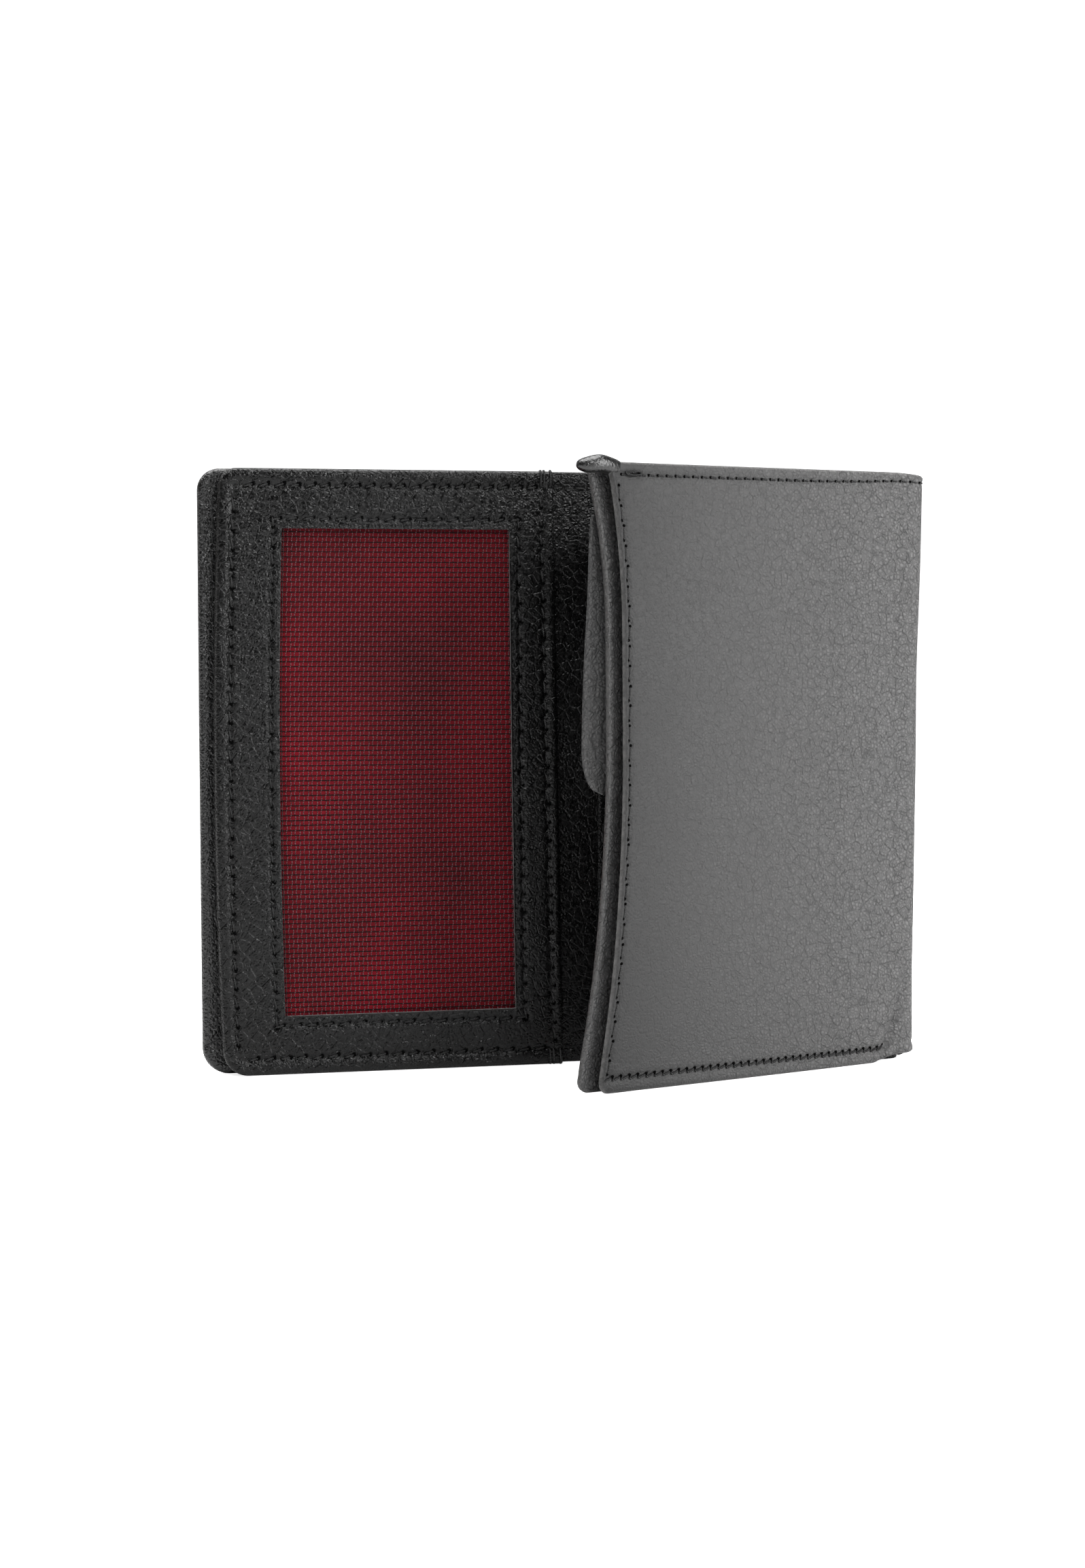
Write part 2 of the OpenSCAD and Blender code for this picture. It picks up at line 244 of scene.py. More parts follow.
def warp_outer(p):
    """Outer leaf: the flap's bow, the soft swelling of its fold and the raised corner below the fold."""
    z = p[:, 2].copy()
    p = warp_flap(p, FLAP_START, 1.15)
    fold = bump(p[:, 0], OUTER_B[0] - 1, 7.5)
    p[:, 1] += fold * (0.75 * smooth((z - 62) / 40) - 0.1 * np.sin(z * 0.09))
    raised = smooth((p[:, 0] - 39) / 3) * smooth((52 - p[:, 0]) / 6)
    p[:, 2] += 1.3 * raised * np.clip(1 - z / 12, 0, 1) ** 2
    p[:, 2] -= 0.5 * bump(p[:, 0], OUTER_B[0] - 1, 4.0) * smooth((z - 104) / 6)
    left = smooth((-45 - p[:, 0]) / 40)
    p[:, 0] += left * (-0.15 + 0.9 * np.clip((30 - z) / 400, 0, 1))
    return p


def warp_inner(p):
    """Inner leaf: the flap's bow and the lean of the left leaf."""
    z = p[:, 2]
    p = warp_flap(p, INNER_FLAP_START, 1.6)
    u = np.clip((p[:, 0] - INNER_FREE) / (MOUTH - INNER_FREE), 0, 1)
    fade = smooth((STRIP_END - p[:, 0]) / (STRIP_END - MOUTH))
    left = -0.7 + 1.1 * ((z - 55) / 52) ** 2
    right = 0.3 + 1.0 * (55 - z) / 55
    p[:, 0] += (left * (1 - u) + right * u**2) * fade
    return p


def wave(x, z):
    """The slow unevenness of the left inner leaf's face."""
    return (
        0.10 * np.sin(0.10 * x + 0.05 * z)
        + 0.08 * np.sin(0.17 * z - 0.06 * x + 1.0)
        + 0.04 * np.sin(0.41 * x + 0.23 * z + 2.0)
    )


# ---- Mesh building
def lines(a, b, step, dense=()):
    """Grid lines from a to b, closer together along the round edges at the ends named in dense."""
    marks = [a, b]
    offsets = [0.04, 0.14, 0.3, 0.5, 0.75]
    low = a + offsets[-1] if "a" in dense else a
    high = b - offsets[-1] if "b" in dense else b
    marks += list(np.linspace(low, high, max(2, int(round((high - low) / step)) + 1)))
    marks += [a + o for o in offsets] if "a" in dense else []
    marks += [b - o for o in offsets] if "b" in dense else []
    out = np.unique(np.round(marks, 4))
    return out[np.concatenate([[True], np.diff(out) > 0.01])]


def outline(X, Z, x_free, corner, margin=0.0, low_corner=None):
    """Distance to a leaf's outline, and the grid bent so that its free corners are round."""
    z_edge = np.minimum(Z - margin, HEIGHT - margin - Z)
    if x_free is None:
        return z_edge, X, Z
    side = 1.0 if x_free > X.mean() else -1.0
    x_edge = np.abs(x_free - X)
    r = np.where(Z < HEIGHT / 2, corner if low_corner is None else low_corner, corner)
    u, v = np.clip(1 - x_edge / r, 0, 1), np.clip(1 - z_edge / r, 0, 1)
    u2, v2 = u * np.sqrt(1 - v * v / 2), v * np.sqrt(1 - u * u / 2)
    inside = (u > 0) & (v > 0)
    up = np.where(Z > HEIGHT / 2, 1.0, -1.0)
    X2 = np.where(inside, x_free - side * r * (1 - u2), X)
    zc = np.where(up > 0, HEIGHT - margin - r, margin + r)
    Z2 = np.where(inside, zc + up * r * v2, Z)
    d = np.where(inside, r * (1 - np.sqrt(u2**2 + v2**2)), np.minimum(x_edge, z_edge))
    return np.maximum(d, 0), X2, Z2


def rounded(front, back, distance, radius, middle=None):
    """Both surfaces of a leaf, drawn together in a round edge over the last radius before distance 0."""
    if middle is None:
        middle = (front + back) / 2
    swell = np.sqrt(1 - (1 - np.clip(distance / radius, 0, 1)) ** 2)
    return middle + (front - middle) * swell, middle + (back - middle) * swell


def declare(node=None):
    """Hide the CAD node that a piece replaces, if one is given."""
    if node:
        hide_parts(node)


def grid_faces(n, m, ring=False):
    """Quads of a grid of n rows of m points, with the last row joined to the first in a ring."""
    i, j = np.meshgrid(np.arange(n if ring else n - 1), np.arange(m - 1), indexing="ij")
    i, j, k = i.ravel(), j.ravel(), (i.ravel() + 1) % n
    return np.column_stack([i * m + j, k * m + j, k * m + j + 1, i * m + j + 1])


def make_mesh(name, verts, faces, materials, face_slots=None, edge=None):
    me = bpy.data.meshes.new(name)
    me.from_pydata((verts * MM).tolist(), [], faces)
    me.polygons.foreach_set("use_smooth", [True] * len(me.polygons))
    for m in materials:
        me.materials.append(m)
    if face_slots is not None:
        me.polygons.foreach_set("material_index", face_slots)
    if edge is not None:
        me.attributes.new("edge", "FLOAT", "POINT").data.foreach_set("value", edge.astype(np.float32))
    me.update()
    obj = bpy.data.objects.new(name, me)
    bpy.context.scene.collection.objects.link(obj)
    return obj


def outside(x, z, hole):
    """How far a point is outside a rectangle (x0, x1, z0, z1): below 0 inside it."""
    return np.maximum(np.maximum(hole[0] - x, x - hole[1]), np.maximum(hole[2] - z, z - hole[3]))


def plate(name, zone, xs, zs, depths, x_free, materials, warp, corner=CORNER, low_corner=None, margin=0.0,
          round_edge=0.4, dents=(), hole=None, skin=None, back_slot=0):
    """A thin leaf between two surfaces that meet in a round edge along its free outline.
    depths(x, z, d) gives the front and the back surface. A dent is (side, x, z, depth, radius), with side -1
    for the front. hole is a window's (x0, x1, z0, z1). skin is 0 or 1 for a cloth of which only the front or
    the back surface is made."""
    X, Z = np.meshgrid(xs, zs, indexing="ij")
    d, X2, Z2 = outline(X, Z, x_free, corner, margin, low_corner)
    front, back = rounded(*depths(X2, Z2, d), d, round_edge)
    for side, x, z, depth, radius in dents:
        pit = depth * np.exp(-(((X2 - x) ** 2 + (Z2 - z) ** 2) / radius**2))
        if side < 0:
            front = front + pit
        else:
            back = back - pit
    nx, nz = len(xs), len(zs)
    on_edge = (d <= 1e-6).ravel()
    n = nx * nz
    index_front = np.arange(n)
    index_back = np.where(on_edge, index_front, 0)
    inner = np.flatnonzero(~on_edge)
    index_back[inner] = n + np.arange(len(inner))
    verts = np.column_stack([X2.ravel(), front.ravel(), Z2.ravel()])
    verts = np.vstack([verts, np.column_stack([X2.ravel(), back.ravel(), Z2.ravel()])[inner]])
    front_quads = grid_faces(nx, nz)
    if hole is not None:
        d = np.minimum(d, np.maximum(outside(X2, Z2, hole), 0) + 0.2)
        centres = outside((xs[:-1, None] + xs[1:, None]) / 2, (zs[None, :-1] + zs[None, 1:]) / 2, hole)
        front_quads = front_quads[centres.ravel() >= 0]
    edge = np.concatenate([d.ravel(), d.ravel()[inner]])
    quads = [front_quads, index_back[front_quads[:, ::-1]]]
    slots = [np.zeros(len(front_quads), int), np.full(len(front_quads), back_slot)]
    if skin is not None:
        quads, slots = quads[skin:skin + 1], slots[:1]
    if hole is not None:
        hx0, hx1 = np.searchsorted(xs, [hole[0], hole[1]])
        hz0, hz1 = np.searchsorted(zs, [hole[2], hole[3]])
        ring = [(k, hz0) for k in range(hx0, hx1)] + [(hx1, k) for k in range(hz0, hz1)]
        ring += [(k, hz1) for k in range(hx1, hx0, -1)] + [(hx0, k) for k in range(hz1, hz0, -1)]
        ring = np.array([k[0] * nz + k[1] for k in ring])
        after = np.roll(ring, -1)
        quads.append(np.column_stack([ring, index_back[ring], index_back[after], after]))
        slots.append(np.ones(len(ring), int))
    quads = np.vstack(quads)
    slots = np.concatenate(slots)
    used = np.zeros(len(verts), bool)
    used[quads.ravel()] = True
    new = np.cumsum(used) - 1
    verts, edge, quads = verts[used], edge[used], new[quads]
    good = np.array([len(set(q)) > 2 for q in quads.tolist()])
    faces = [list(dict.fromkeys(q)) for q in quads[good].tolist()]
    verts = zone.place(warp(verts))
    obj = make_mesh(name, verts, faces, materials, slots[good].tolist(), edge)
    zone.join(obj)
    return obj


def along_lay(obj, uvs):
    """Give each vertex its place along and around the thread, for the twist in the material."""
    layer = obj.data.uv_layers.new(name="lay")
    index = np.zeros(len(obj.data.loops), int)
    obj.data.loops.foreach_get("vertex_index", index)
    layer.data.foreach_set("uv", np.asarray(uvs)[index].ravel().astype(np.float32))


def directions(points, across):
    """Unit directions along a path of points, and at right angles to it and to across."""
    tangent = np.gradient(points, axis=0)
    tangent /= np.linalg.norm(tangent, axis=1)[:, None]
    side = np.cross(tangent, across)
    return tangent, side / np.linalg.norm(side, axis=1)[:, None]


def tubes(name, zone, paths, radius, node=None, warp=None):
    """Pieces of thread with tapered ends. Each path is a list of flat points."""
    verts, faces, uvs = [], [], []
    sides = 6
    for path in paths:
        tangent, side = directions(path, [0, 1, 0.02])
        up = np.cross(side, tangent)
        length = np.concatenate([[0], np.cumsum(np.linalg.norm(np.diff(path, axis=0), axis=1))])
        first = len(verts)
        n = len(path)
        for k in range(n):
            r = radius * (0.6 if k in (0, n - 1) else 1.0)
            for s in range(sides):
                t = 2 * math.pi * s / sides
                verts.append(path[k] + r * (math.cos(t) * side[k] + math.sin(t) * up[k]))
                uvs.append((length[k], s / sides))
        for k in range(n - 1):
            for s in range(sides):
                a, b = first + k * sides + s, first + k * sides + (s + 1) % sides
                faces.append([a, b, b + sides, a + sides])
        faces.append([first + s for s in range(sides)][::-1])
        faces.append([first + (n - 1) * sides + s for s in range(sides)])
    verts = np.array(verts)
    obj = make_mesh(name, zone.place(warp(verts) if warp else verts), faces, [THREAD])
    along_lay(obj, uvs)
    zone.join(obj)
    declare(node)


def stitch(a, b, face, side, height, sink=0.3):
    """A stitch from hole a to hole b, both (x, z), over the surface at depth face(x, z)."""
    t = np.linspace(0, 1, 9)
    x = a[0] + (b[0] - a[0]) * t
    z = a[1] + (b[1] - a[1]) * t
    lift = -sink + (sink + height) * np.sin(math.pi * t) ** 0.45
    return np.column_stack([x, face(x, z) + side * lift, z])


def needle_holes(name, zone, holes, face, side, radius, warp):
    """Painted shade: small near-black lens-shaped pieces at the ends of the stitches, standing for the shade
    inside the open needle holes.
    """
    verts, faces = [], []
    count = 10
    for x, z in holes:
        first = len(verts)
        turn = 2 * math.pi * np.arange(count) / count
        ring_x, ring_z = x + radius * np.cos(turn), z + radius * 1.2 * np.sin(turn)
        ring_y = face(ring_x, ring_z) + side * 0.02
        middle = float(np.mean(ring_y))
        verts += list(zip(ring_x, ring_y, ring_z))
        verts += [(x, middle + side * 0.015, z), (x, middle - side * 0.15, z)]
        for k in range(count):
            a, b = first + k, first + (k + 1) % count
            faces += [[a, b, first + count], [b, a, first + count + 1]]
    obj = make_mesh(name, zone.place(warp(np.array(verts))), faces, [HOLE_SHADE])
    declare()
    zone.join(obj)


def seam(p, q, pitch, share, slant=0.0, jitter=0.06):
    """Hole pairs of a seam from p to q. Each stitch covers a share of the pitch, slanted across the seam."""
    p, q = np.array(p, float), np.array(q, float)
    length = np.linalg.norm(q - p)
    along = (q - p) / length
    across = np.array([-along[1], along[0]])
    n = max(1, int(round(length / pitch)))
    out = []
    for k in range(n):
        s0 = (k + (1 - share) / 2) * length / n
        s1 = s0 + share * length / n
        j = RNG.normal(0, jitter, 4)
        start = p + along * (s0 + j[0]) + across * (-slant / 2 + j[1])
        out.append((start, p + along * (s1 + j[2]) + across * (slant / 2 + j[3])))
    return out


def level(y):
    """A flat surface at depth y."""
    return lambda x, z: np.full(np.shape(x), y)


def sewn(face, side, height, *seam_values):
    """The stitches of a whole seam. seam_values are what seam() takes."""
    return [stitch(a, b, face, side, height) for a, b in seam(*seam_values)]


# ---- Materials
class Nodes:
    """A material and short ways to add nodes to it. A value is a socket to link from, or a number."""

    def __init__(self, name):
        self.mat = bpy.data.materials.new(name)
        self.mat.use_nodes = True
        self.tree = self.mat.node_tree
        self.bsdf = next(n for n in self.tree.nodes if n.type == "BSDF_PRINCIPLED")

    def put(self, socket, value):
        if isinstance(value, bpy.types.NodeSocket):
            self.tree.links.new(value, socket)
        else:
            socket.default_value = value

    def add(self, kind, **values):
        node = self.tree.nodes.new(kind)
        for key, value in values.items():
            if hasattr(node, key):
                setattr(node, key, value)
            else:
                self.put(node.inputs[key.replace("_", " ")], value)
        return node

    def surface(self, **values):
        for key, value in values.items():
            self.put(self.bsdf.inputs[key.replace("_", " ")], value)

    def coords(self):
        return self.add("ShaderNodeTexCoord").outputs["Object"]

    def axes(self, vector):
        return self.add("ShaderNodeSeparateXYZ", Vector=vector).outputs

    def noise(self, at, scale, detail, **values):
        return self.add("ShaderNodeTexNoise", Vector=at, Scale=scale, Detail=detail, **values).outputs

    def bump(self, height, distance, strength=1.0):
        return self.add("ShaderNodeBump", Height=height, Distance=distance, Strength=strength)

    def math(self, operation, *values):
        node = self.add("ShaderNodeMath", operation=operation)
        for socket, value in zip(node.inputs, values):
            self.put(socket, value)
        return node.outputs[0]

    def mapped(self, low, high, source):
        node = self.add("ShaderNodeMapRange", Value=source)
        for ends, (start, end) in (("From", low), ("To", high)):
            node.inputs[ends + " Min"].default_value = start
            node.inputs[ends + " Max"].default_value = end
        return node.outputs["Result"]

    def mix(self, factor, a, b, **values):
        node = self.add("ShaderNodeMix", data_type="RGBA", **values)
        for socket, value in zip((node.inputs["Factor"], node.inputs[6], node.inputs[7]), (factor, a, b)):
            self.put(socket, value)
        return node.outputs[2]


def grey(v, r=1.0, g=1.0, b=1.0):
    return (v * r, v * g, v * b, 1.0)


def leather(name, base, worn, rough, specular, pebble, depth, crackle=0.0, fine=1.0, rubbed_and_shaded=False, patchy=0):
    """Grained leather: small pebbles, thin creases around groups of them, pores, uneven gloss, and edges that
    are worn lighter and polished. Painted shade darkens the gaps, creases and hollows of the grain. pebble is
    a size in millimetres. depth and crackle are the pebbles' and the creases' depths in metres. patchy is how
    much the gloss changes within a millimetre. Rubbed leather is smoother towards the flap's free edge, and
    its base colour is painted darker there: painted shade where the softbox's sheen on the flap falls off."""
    n = Nodes(name)
    at = n.coords()
    moved = n.add("ShaderNodeVectorMath", operation="MULTIPLY_ADD")
    for socket, value in zip(moved.inputs, (n.noise(at, 700.0, 2.0)["Color"], (0.0003, 0.0003, 0.0003), at)):
        n.put(socket, value)

    def cells(size, width):
        """0 on the lines between cells of a size in millimetres, 1 inside them."""
        node = n.add("ShaderNodeTexVoronoi", feature="DISTANCE_TO_EDGE", Scale=1000.0 / size)
        n.put(node.inputs["Vector"], moved.outputs[0])
        return n.mapped((0.0, width), (0.0, 1.0), node.outputs["Distance"])

    across = n.axes(at)["X"] if rubbed_and_shaded else None
    share = n.mapped((-0.030, 0.015), (0.55, 0.9), across) if rubbed_and_shaded else 1.0
    pebbles, creases = cells(pebble, 0.40), cells(pebble * 2.9, 0.09)
    pores = n.noise(at, 5200.0, 3.0, Roughness=0.6)["Fac"]
    slow = n.noise(at, 55.0, 3.0, Roughness=0.6)["Fac"]
    medium = n.noise(at, 900.0, 4.0, Roughness=0.6)["Fac"]
    layers = [n.bump(pores, 0.00002 * fine), n.bump(medium, 0.00010 * fine, share)]
    layers.append(n.bump(pebbles, depth, share))
    if crackle:
        layers.append(n.bump(creases, crackle, share))
    for under, over in zip(layers[:-1], layers[1:]):
        n.put(over.inputs["Normal"], under.outputs["Normal"])

    edge = n.add("ShaderNodeAttribute", attribute_name="edge").outputs["Fac"]
    wear = n.mapped((0.0, 0.45), (0.8, 0.0), edge)
    worn_share = n.math("MULTIPLY", wear, n.mapped((0.35, 0.65), (0.35, 1.0), medium))
    tone = n.mix(slow, grey(base * 0.88), grey(base * 1.14, 1.0, 0.975, 0.97))
    # Painted shade: towards the flap's free edge the base colour fades to near black, standing in for the
    # softbox's sheen falling off across the flap.
    if rubbed_and_shaded:
        tone = n.mix(n.mapped((-0.035, 0.035), (1.0, 0.0), across), tone, grey(base * 0.08))
    # Painted shade: the base colour is darkened in the gaps between pebbles, in the creases and in the low
    # parts of the medium wrinkles, where shade falls in the grain.
    crease_shade = n.math(
        "ADD", n.mapped((0.0, 1.0), (0.70, 0.0), pebbles), n.mapped((0.0, 1.0), (0.30, 0.0), creases)
    )
    painted_shade = n.math("ADD", crease_shade, n.mapped((0.35, 0.65), (0.22, 0.0), medium))
    if rubbed_and_shaded:
        painted_shade = n.math("MULTIPLY", painted_shade, share)
    shaded_tone = n.mix(painted_shade, tone, grey(base * 0.25))
    gloss = n.mapped((0.3, 0.7), (rough - 0.06, rough + 0.07), slow)
    gloss = n.math("MULTIPLY_ADD", wear, -0.14, gloss)
    if patchy:
        gloss = n.math("MULTIPLY_ADD", n.mapped((0.38, 0.62), (-1.0, 1.0), medium), patchy, gloss)
    n.surface(
        Normal=layers[-1].outputs["Normal"],
        Base_Color=n.mix(worn_share, shaded_tone, grey(worn, 1.0, 0.98, 0.96)),
        Roughness=gloss,
        Specular_IOR_Level=specular,
    )
    return n.mat


def wave_of(n, turns):
    """A sine wave of a number of turns."""
    return n.math("SINE", n.math("MULTIPLY", turns, 2 * math.pi))


def weave(name, dark, light, thread, depth=0.00006):
    """Woven cloth of two crossing sets of threads, in the plane of the leaf, with painted shade in the
    hollows between threads and slow painted patches of light and shade. thread is in millimetres.
    """
    n = Nodes(name)
    at = n.coords()
    x, _, z = n.axes(at)
    crossing = [wave_of(n, n.math("MULTIPLY", along, 1 / (thread * MM))) for along in (x, z)]
    height = n.mapped((-1.0, 1.0), (0.0, 1.0), n.math("MULTIPLY", *crossing))
    relief = n.bump(n.math("ADD", height, n.noise(at, 3500.0, 3.0)["Fac"]), depth, 0.8)
    # Painted light and shade: slow lighter and darker patches, for the uneven light that reaches the cloth
    # behind the window's mesh.
    slow = n.mapped((0.3, 0.7), (0.0, 1.0), n.noise(at, 42.0, 2.0)["Fac"])
    shade = n.mix(slow, grey(0.55), grey(1.25))
    n.surface(
        Normal=relief.outputs["Normal"],
        # Painted shade: where the threads dip the cloth takes the dark colour, and where they rise it takes
        # the light one.
        Base_Color=n.mix(1.0, n.mix(height, dark, light), shade, blend_type="MULTIPLY"),
        Roughness=0.75,
        Specular_IOR_Level=0.25,
    )
    return n.mat


def yarn(name, dark, light, lay, rough, specular):
    """Twisted thread: a slanted wave along its length, its colour painted light on the raised part of each
    turn as a painted highlight and dark in the grooves as painted shade. lay is the length of one turn in
    millimetres.
    """
    n = Nodes(name)
    along, around, _ = n.axes(n.add("ShaderNodeUVMap", uv_map="lay").outputs[0])
    twist = wave_of(n, n.math("ADD", n.math("MULTIPLY", along, 1 / lay), around))
    height = n.mapped((-1.0, 1.0), (0.0, 1.0), twist)
    n.surface(
        Normal=n.bump(height, 0.00008).outputs["Normal"],
        Base_Color=n.mix(height, dark, light),
        Roughness=rough,
        Specular_IOR_Level=specular,
    )
    return n.mat


def board(name):
    """Grey fibre board."""
    n = Nodes(name)
    fibre = n.noise(n.coords(), 1800.0, 5.0)["Fac"]
    n.surface(Base_Color=n.mix(fibre, grey(0.25, 1, 0.95, 0.88), grey(0.5, 1, 0.96, 0.9)), Roughness=0.9)
    return n.mat


def pit(name):
    """Painted shade: the near-black of the shade inside an open needle hole."""
    n = Nodes(name)
    n.surface(Base_Color=grey(0.002), Roughness=1.0, Specular_IOR_Level=0.0)
    return n.mat


# Painted sheen: the shell leather is black, and the grey of its base colour stands in for the softbox's broad
# sheen on it; the flap's copy is lighter still and fades darker towards its free edge.
SHELL = leather("shell_leather", 0.105, 0.12, 0.50, 0.22, 0.66, 0.00011, crackle=0.00006, fine=0.8)
FLAP = leather("flap_leather_painted_sheen", 0.135, 0.13, 0.50, 0.22, 0.66, 0.00011, crackle=0.00006, fine=0.8, rubbed_and_shaded=True)
TURNED = leather(
    "turned_leather", 0.010, 0.070, 0.25, 0.45, 0.70, 0.00008, crackle=0.00004, fine=1.2, patchy=0.06
)
INNER = leather(
    "inner_leather", 0.004, 0.035, 0.28, 0.22, 0.62, 0.000055, crackle=0.00007, fine=0.55, patchy=0.08
)
# Painted light: a lighter copy of the inner leather for the flap's inner leaf and the slip pocket's lip,
# standing in for the softbox light on them; the leather itself is the same as the inner leather.
FLAP_INNER = leather("flap_inner_leather_painted_light", 0.062, 0.080, 0.48, 0.35, 0.70, 0.00010, crackle=0.00006, fine=1.5)
POLISHED = leather("polished_leather", 0.014, 0.050, 0.26, 0.60, 0.70, 0.00004, fine=0.6)
RAW = leather("raw_edge", 0.13, 0.30, 0.85, 0.2, 0.35, 0.00008)
LINING = weave("burgundy_lining", (0.10, 0.002, 0.010, 1), (0.30, 0.008, 0.030, 1), 0.5)
BACKING = weave("crimson_backing", (0.07, 0.000, 0.003, 1), (0.26, 0.0006, 0.010, 1), 0.36, 0.00010)
WARP_YARN = yarn("mesh_warp", (0.012, 0.005, 0.006, 1), (0.17, 0.080, 0.090, 1), 0.5, 0.40, 0.20)
WEFT_YARN = yarn("mesh_weft", (0.002, 0.001, 0.001, 1), (0.006, 0.003, 0.003, 1), 0.5, 0.60, 0.10)
THREAD = yarn("thread", grey(0.002), grey(0.010), 0.28, 0.45, 0.35)
HOLE_SHADE = pit("needle_hole")
BOARD = board("board")

# ---- Outer shell: leather with turned hems, boards and lining, one piece per zone
# Places of the seams: above the bottom edge, below the top edge, and in from the flap's free edge
HEM_LOW = 2.6
HEM_HIGH = 2.2
RIDGE = 1.35
# Grid step of the finest leather
STEP = 0.42


def top_seam(x):
    """How far the outer seam lies below the top edge. On the flap it comes closer towards the fold."""
    return HEM_HIGH - 0.9 * smooth((70 - x) / 40) * smooth((x - 30) / 8)


def thin_at_bend(x):
    """How much further back the lining and the hems lie at the left bends, where there is no board."""
    return 0.5 * smooth((x - LEFT_B[0] + 6) / 3) * smooth((LEFT_A[0] + 6 - x) / 3)


def outer_depths(x, z, d):
    """Front, which faces the bill compartment, and back, which is the outside of the wallet."""
    hem = 1 - smooth((d - HEM) / 0.3)
    front = (Y_SHELL + 0.05) * (1 - hem) + (Y_OUTER + 0.03) * hem
    near_left = smooth((LEFT_FREE + 7 - x) / 2)
    for corner_z, lean in ((HEIGHT - 5.0, -0.8), (5.0, 0.8)):
        front = front + 0.3 * near_left * bump(z - corner_z - lean * (x - LEFT_FREE), 0, 0.4)
    front = front - 0.18 * near_left * bump(d, 1.1, 0.9)
    front = front + 0.5 * smooth((x - OUTER_FREE + 7.5) / 3) + hem * thin_at_bend(x)
    on_flap = smooth((x - OUTER_B[0] + 8) / 6)
    groove = 0.16 * bump(HEIGHT - z, top_seam(x), 0.5) + 0.16 * bump(z, HEM_LOW, 0.6)
    puff = 0.10 * bump(HEIGHT - z, 0.9, 0.7) + 0.12 * bump(z, 1.1, 0.9)
    free = OUTER_FREE - x
    ridge = 0.30 * bump(free, 0.6, 0.5) - 0.22 * bump(free, RIDGE, 0.35)
    long_crease = 0.05 * bump(x, 68.2, 0.5) * smooth((z - 92) / 4)
    corner = 0.60 * bump((x - 43.3) - (20.3 - z) * 0.34, 0, 0.9)
    corner = corner * smooth((21 - z) / 5) * smooth((x - 42.6) / 1.5)
    back = Y_BACK - groove + puff + (ridge - long_crease - corner) * on_flap
    back += 0.05 * np.sin(0.21 * x + 0.13 * z) * np.sin(0.09 * z)
    return front, back


def lining_depths(x, z, d):
    front = Y_OUTER - 0.02 + 0.04 * np.sin(0.3 * x) * np.sin(0.21 * z) + thin_at_bend(x)
    front = front + 0.5 * smooth((x - OUTER_FREE + 7.5) / 3)
    return front, front + 0.22


# Hole pairs of the flap's three seams, and the pits that they leave in the leather
flap_edge_x = OUTER_FREE - RIDGE
edge_seam = seam((flap_edge_x, 3.0), (flap_edge_x, HEIGHT - 3.6), 3.45, 0.72, slant=0.25)
top_x = np.linspace(42.2, OUTER_FREE - 2.0, 37)
top_seam_pairs = []
for x0, x1 in zip(top_x[:-1], top_x[1:]):
    w = (x1 - x0) * 0.16
    top_seam_pairs.append(((x0 + w, HEIGHT - top_seam(x0) - 0.06), (x1 - w, HEIGHT - top_seam(x1) + 0.06)))
low_x = np.linspace(49.6, OUTER_FREE - 0.6, 38)
low_pairs = [((a + 0.10, HEM_LOW + 0.28), (b + 0.05, HEM_LOW - 0.28)) for a, b in zip(low_x[:-1], low_x[1:])]
low_holes = [(a[0] - 0.12, a[1] + 0.1) for a, b in low_pairs]
shell_dents = []
for a, b in edge_seam:
    shell_dents += [(1, a[0], a[1], 0.45, 0.34), (1, b[0], b[1], 0.35, 0.3)]
for a, b in top_seam_pairs:
    shell_dents += [(1, a[0], a[1], 0.28, 0.3), (1, b[0], b[1], 0.28, 0.3)]
shell_dents += [(1, x, z, 0.40, 0.36) for x, z in low_holes]


def back_face(x, z):
    return outer_depths(x, z, np.full(np.shape(x), 9.0))[1] - 0.02


# The CAD nodes that the leather and the lining of each zone replace
outer_replaced = {
    "left": ("shell_left", "lining_left"),
    "left_bend_b": ("spine_left_shell", "spine_left_lining"),
    "left_bend_a": (None, None),
    "centre": ("shell_centre", "lining_centre"),
    "right_bend_a": ("spine_right_shell", "spine_right_lining"),
    "right_bend_b": (None, None),
    "flap": ("shell_right", "lining_right"),
}
# The zones whose back shows the flap leather with its painted sheen, those with a fine grid, and their free
# ends
FLAP_TAGS = ("right_bend_a", "right_bend_b", "flap")
FINE_TAGS = ("flap", "right_bend_b", "left")
FREE_END = {"left": "a", "flap": "b"}
BILL_INSET = HEM - 0.9
for tag, zone in OUTER_ZONES.items():
    left, flap = tag == "left", tag == "flap"
    dense = FREE_END.get(tag, "")
    fine = tag in FINE_TAGS
    leather_node, cloth_node = outer_replaced[tag]
    shell = plate(
        "leather_" + tag, zone, lines(zone.x0, zone.x1, STEP if fine else 0.45, dense),
        lines(0, HEIGHT, STEP, "ab"), outer_depths, {"left": LEFT_FREE, "flap": OUTER_FREE}.get(tag),
        [TURNED, FLAP if tag in FLAP_TAGS else SHELL], warp_outer, corner=CORNER if left else 1.6,
        low_corner=5.0 if left else 2.2, round_edge=0.75,
        dents=[dent for dent in shell_dents if fine and zone.x0 - 1 < dent[1] < zone.x1 + 1], back_slot=1,
    )
    declare(leather_node)
    x0 = zone.x0 + BILL_INSET if left else zone.x0
    x1 = zone.x1 - BILL_INSET if flap else zone.x1
    zs = lines(BILL_INSET, HEIGHT - BILL_INSET, 1.6, "ab")
    cloth = plate(
        "bill_lining_" + tag, zone, lines(x0, x1, 1.2, dense), zs, lining_depths,
        {"left": x0, "flap": x1}.get(tag), [LINING], warp_outer, corner=1.5, margin=BILL_INSET,
        round_edge=0.11, skin=0,
    )
    declare(cloth_node)


def board_depths(x, z, d):
    return np.full(x.shape, Y_BOARD + 0.02), np.full(x.shape, Y_SHELL + 0.04)


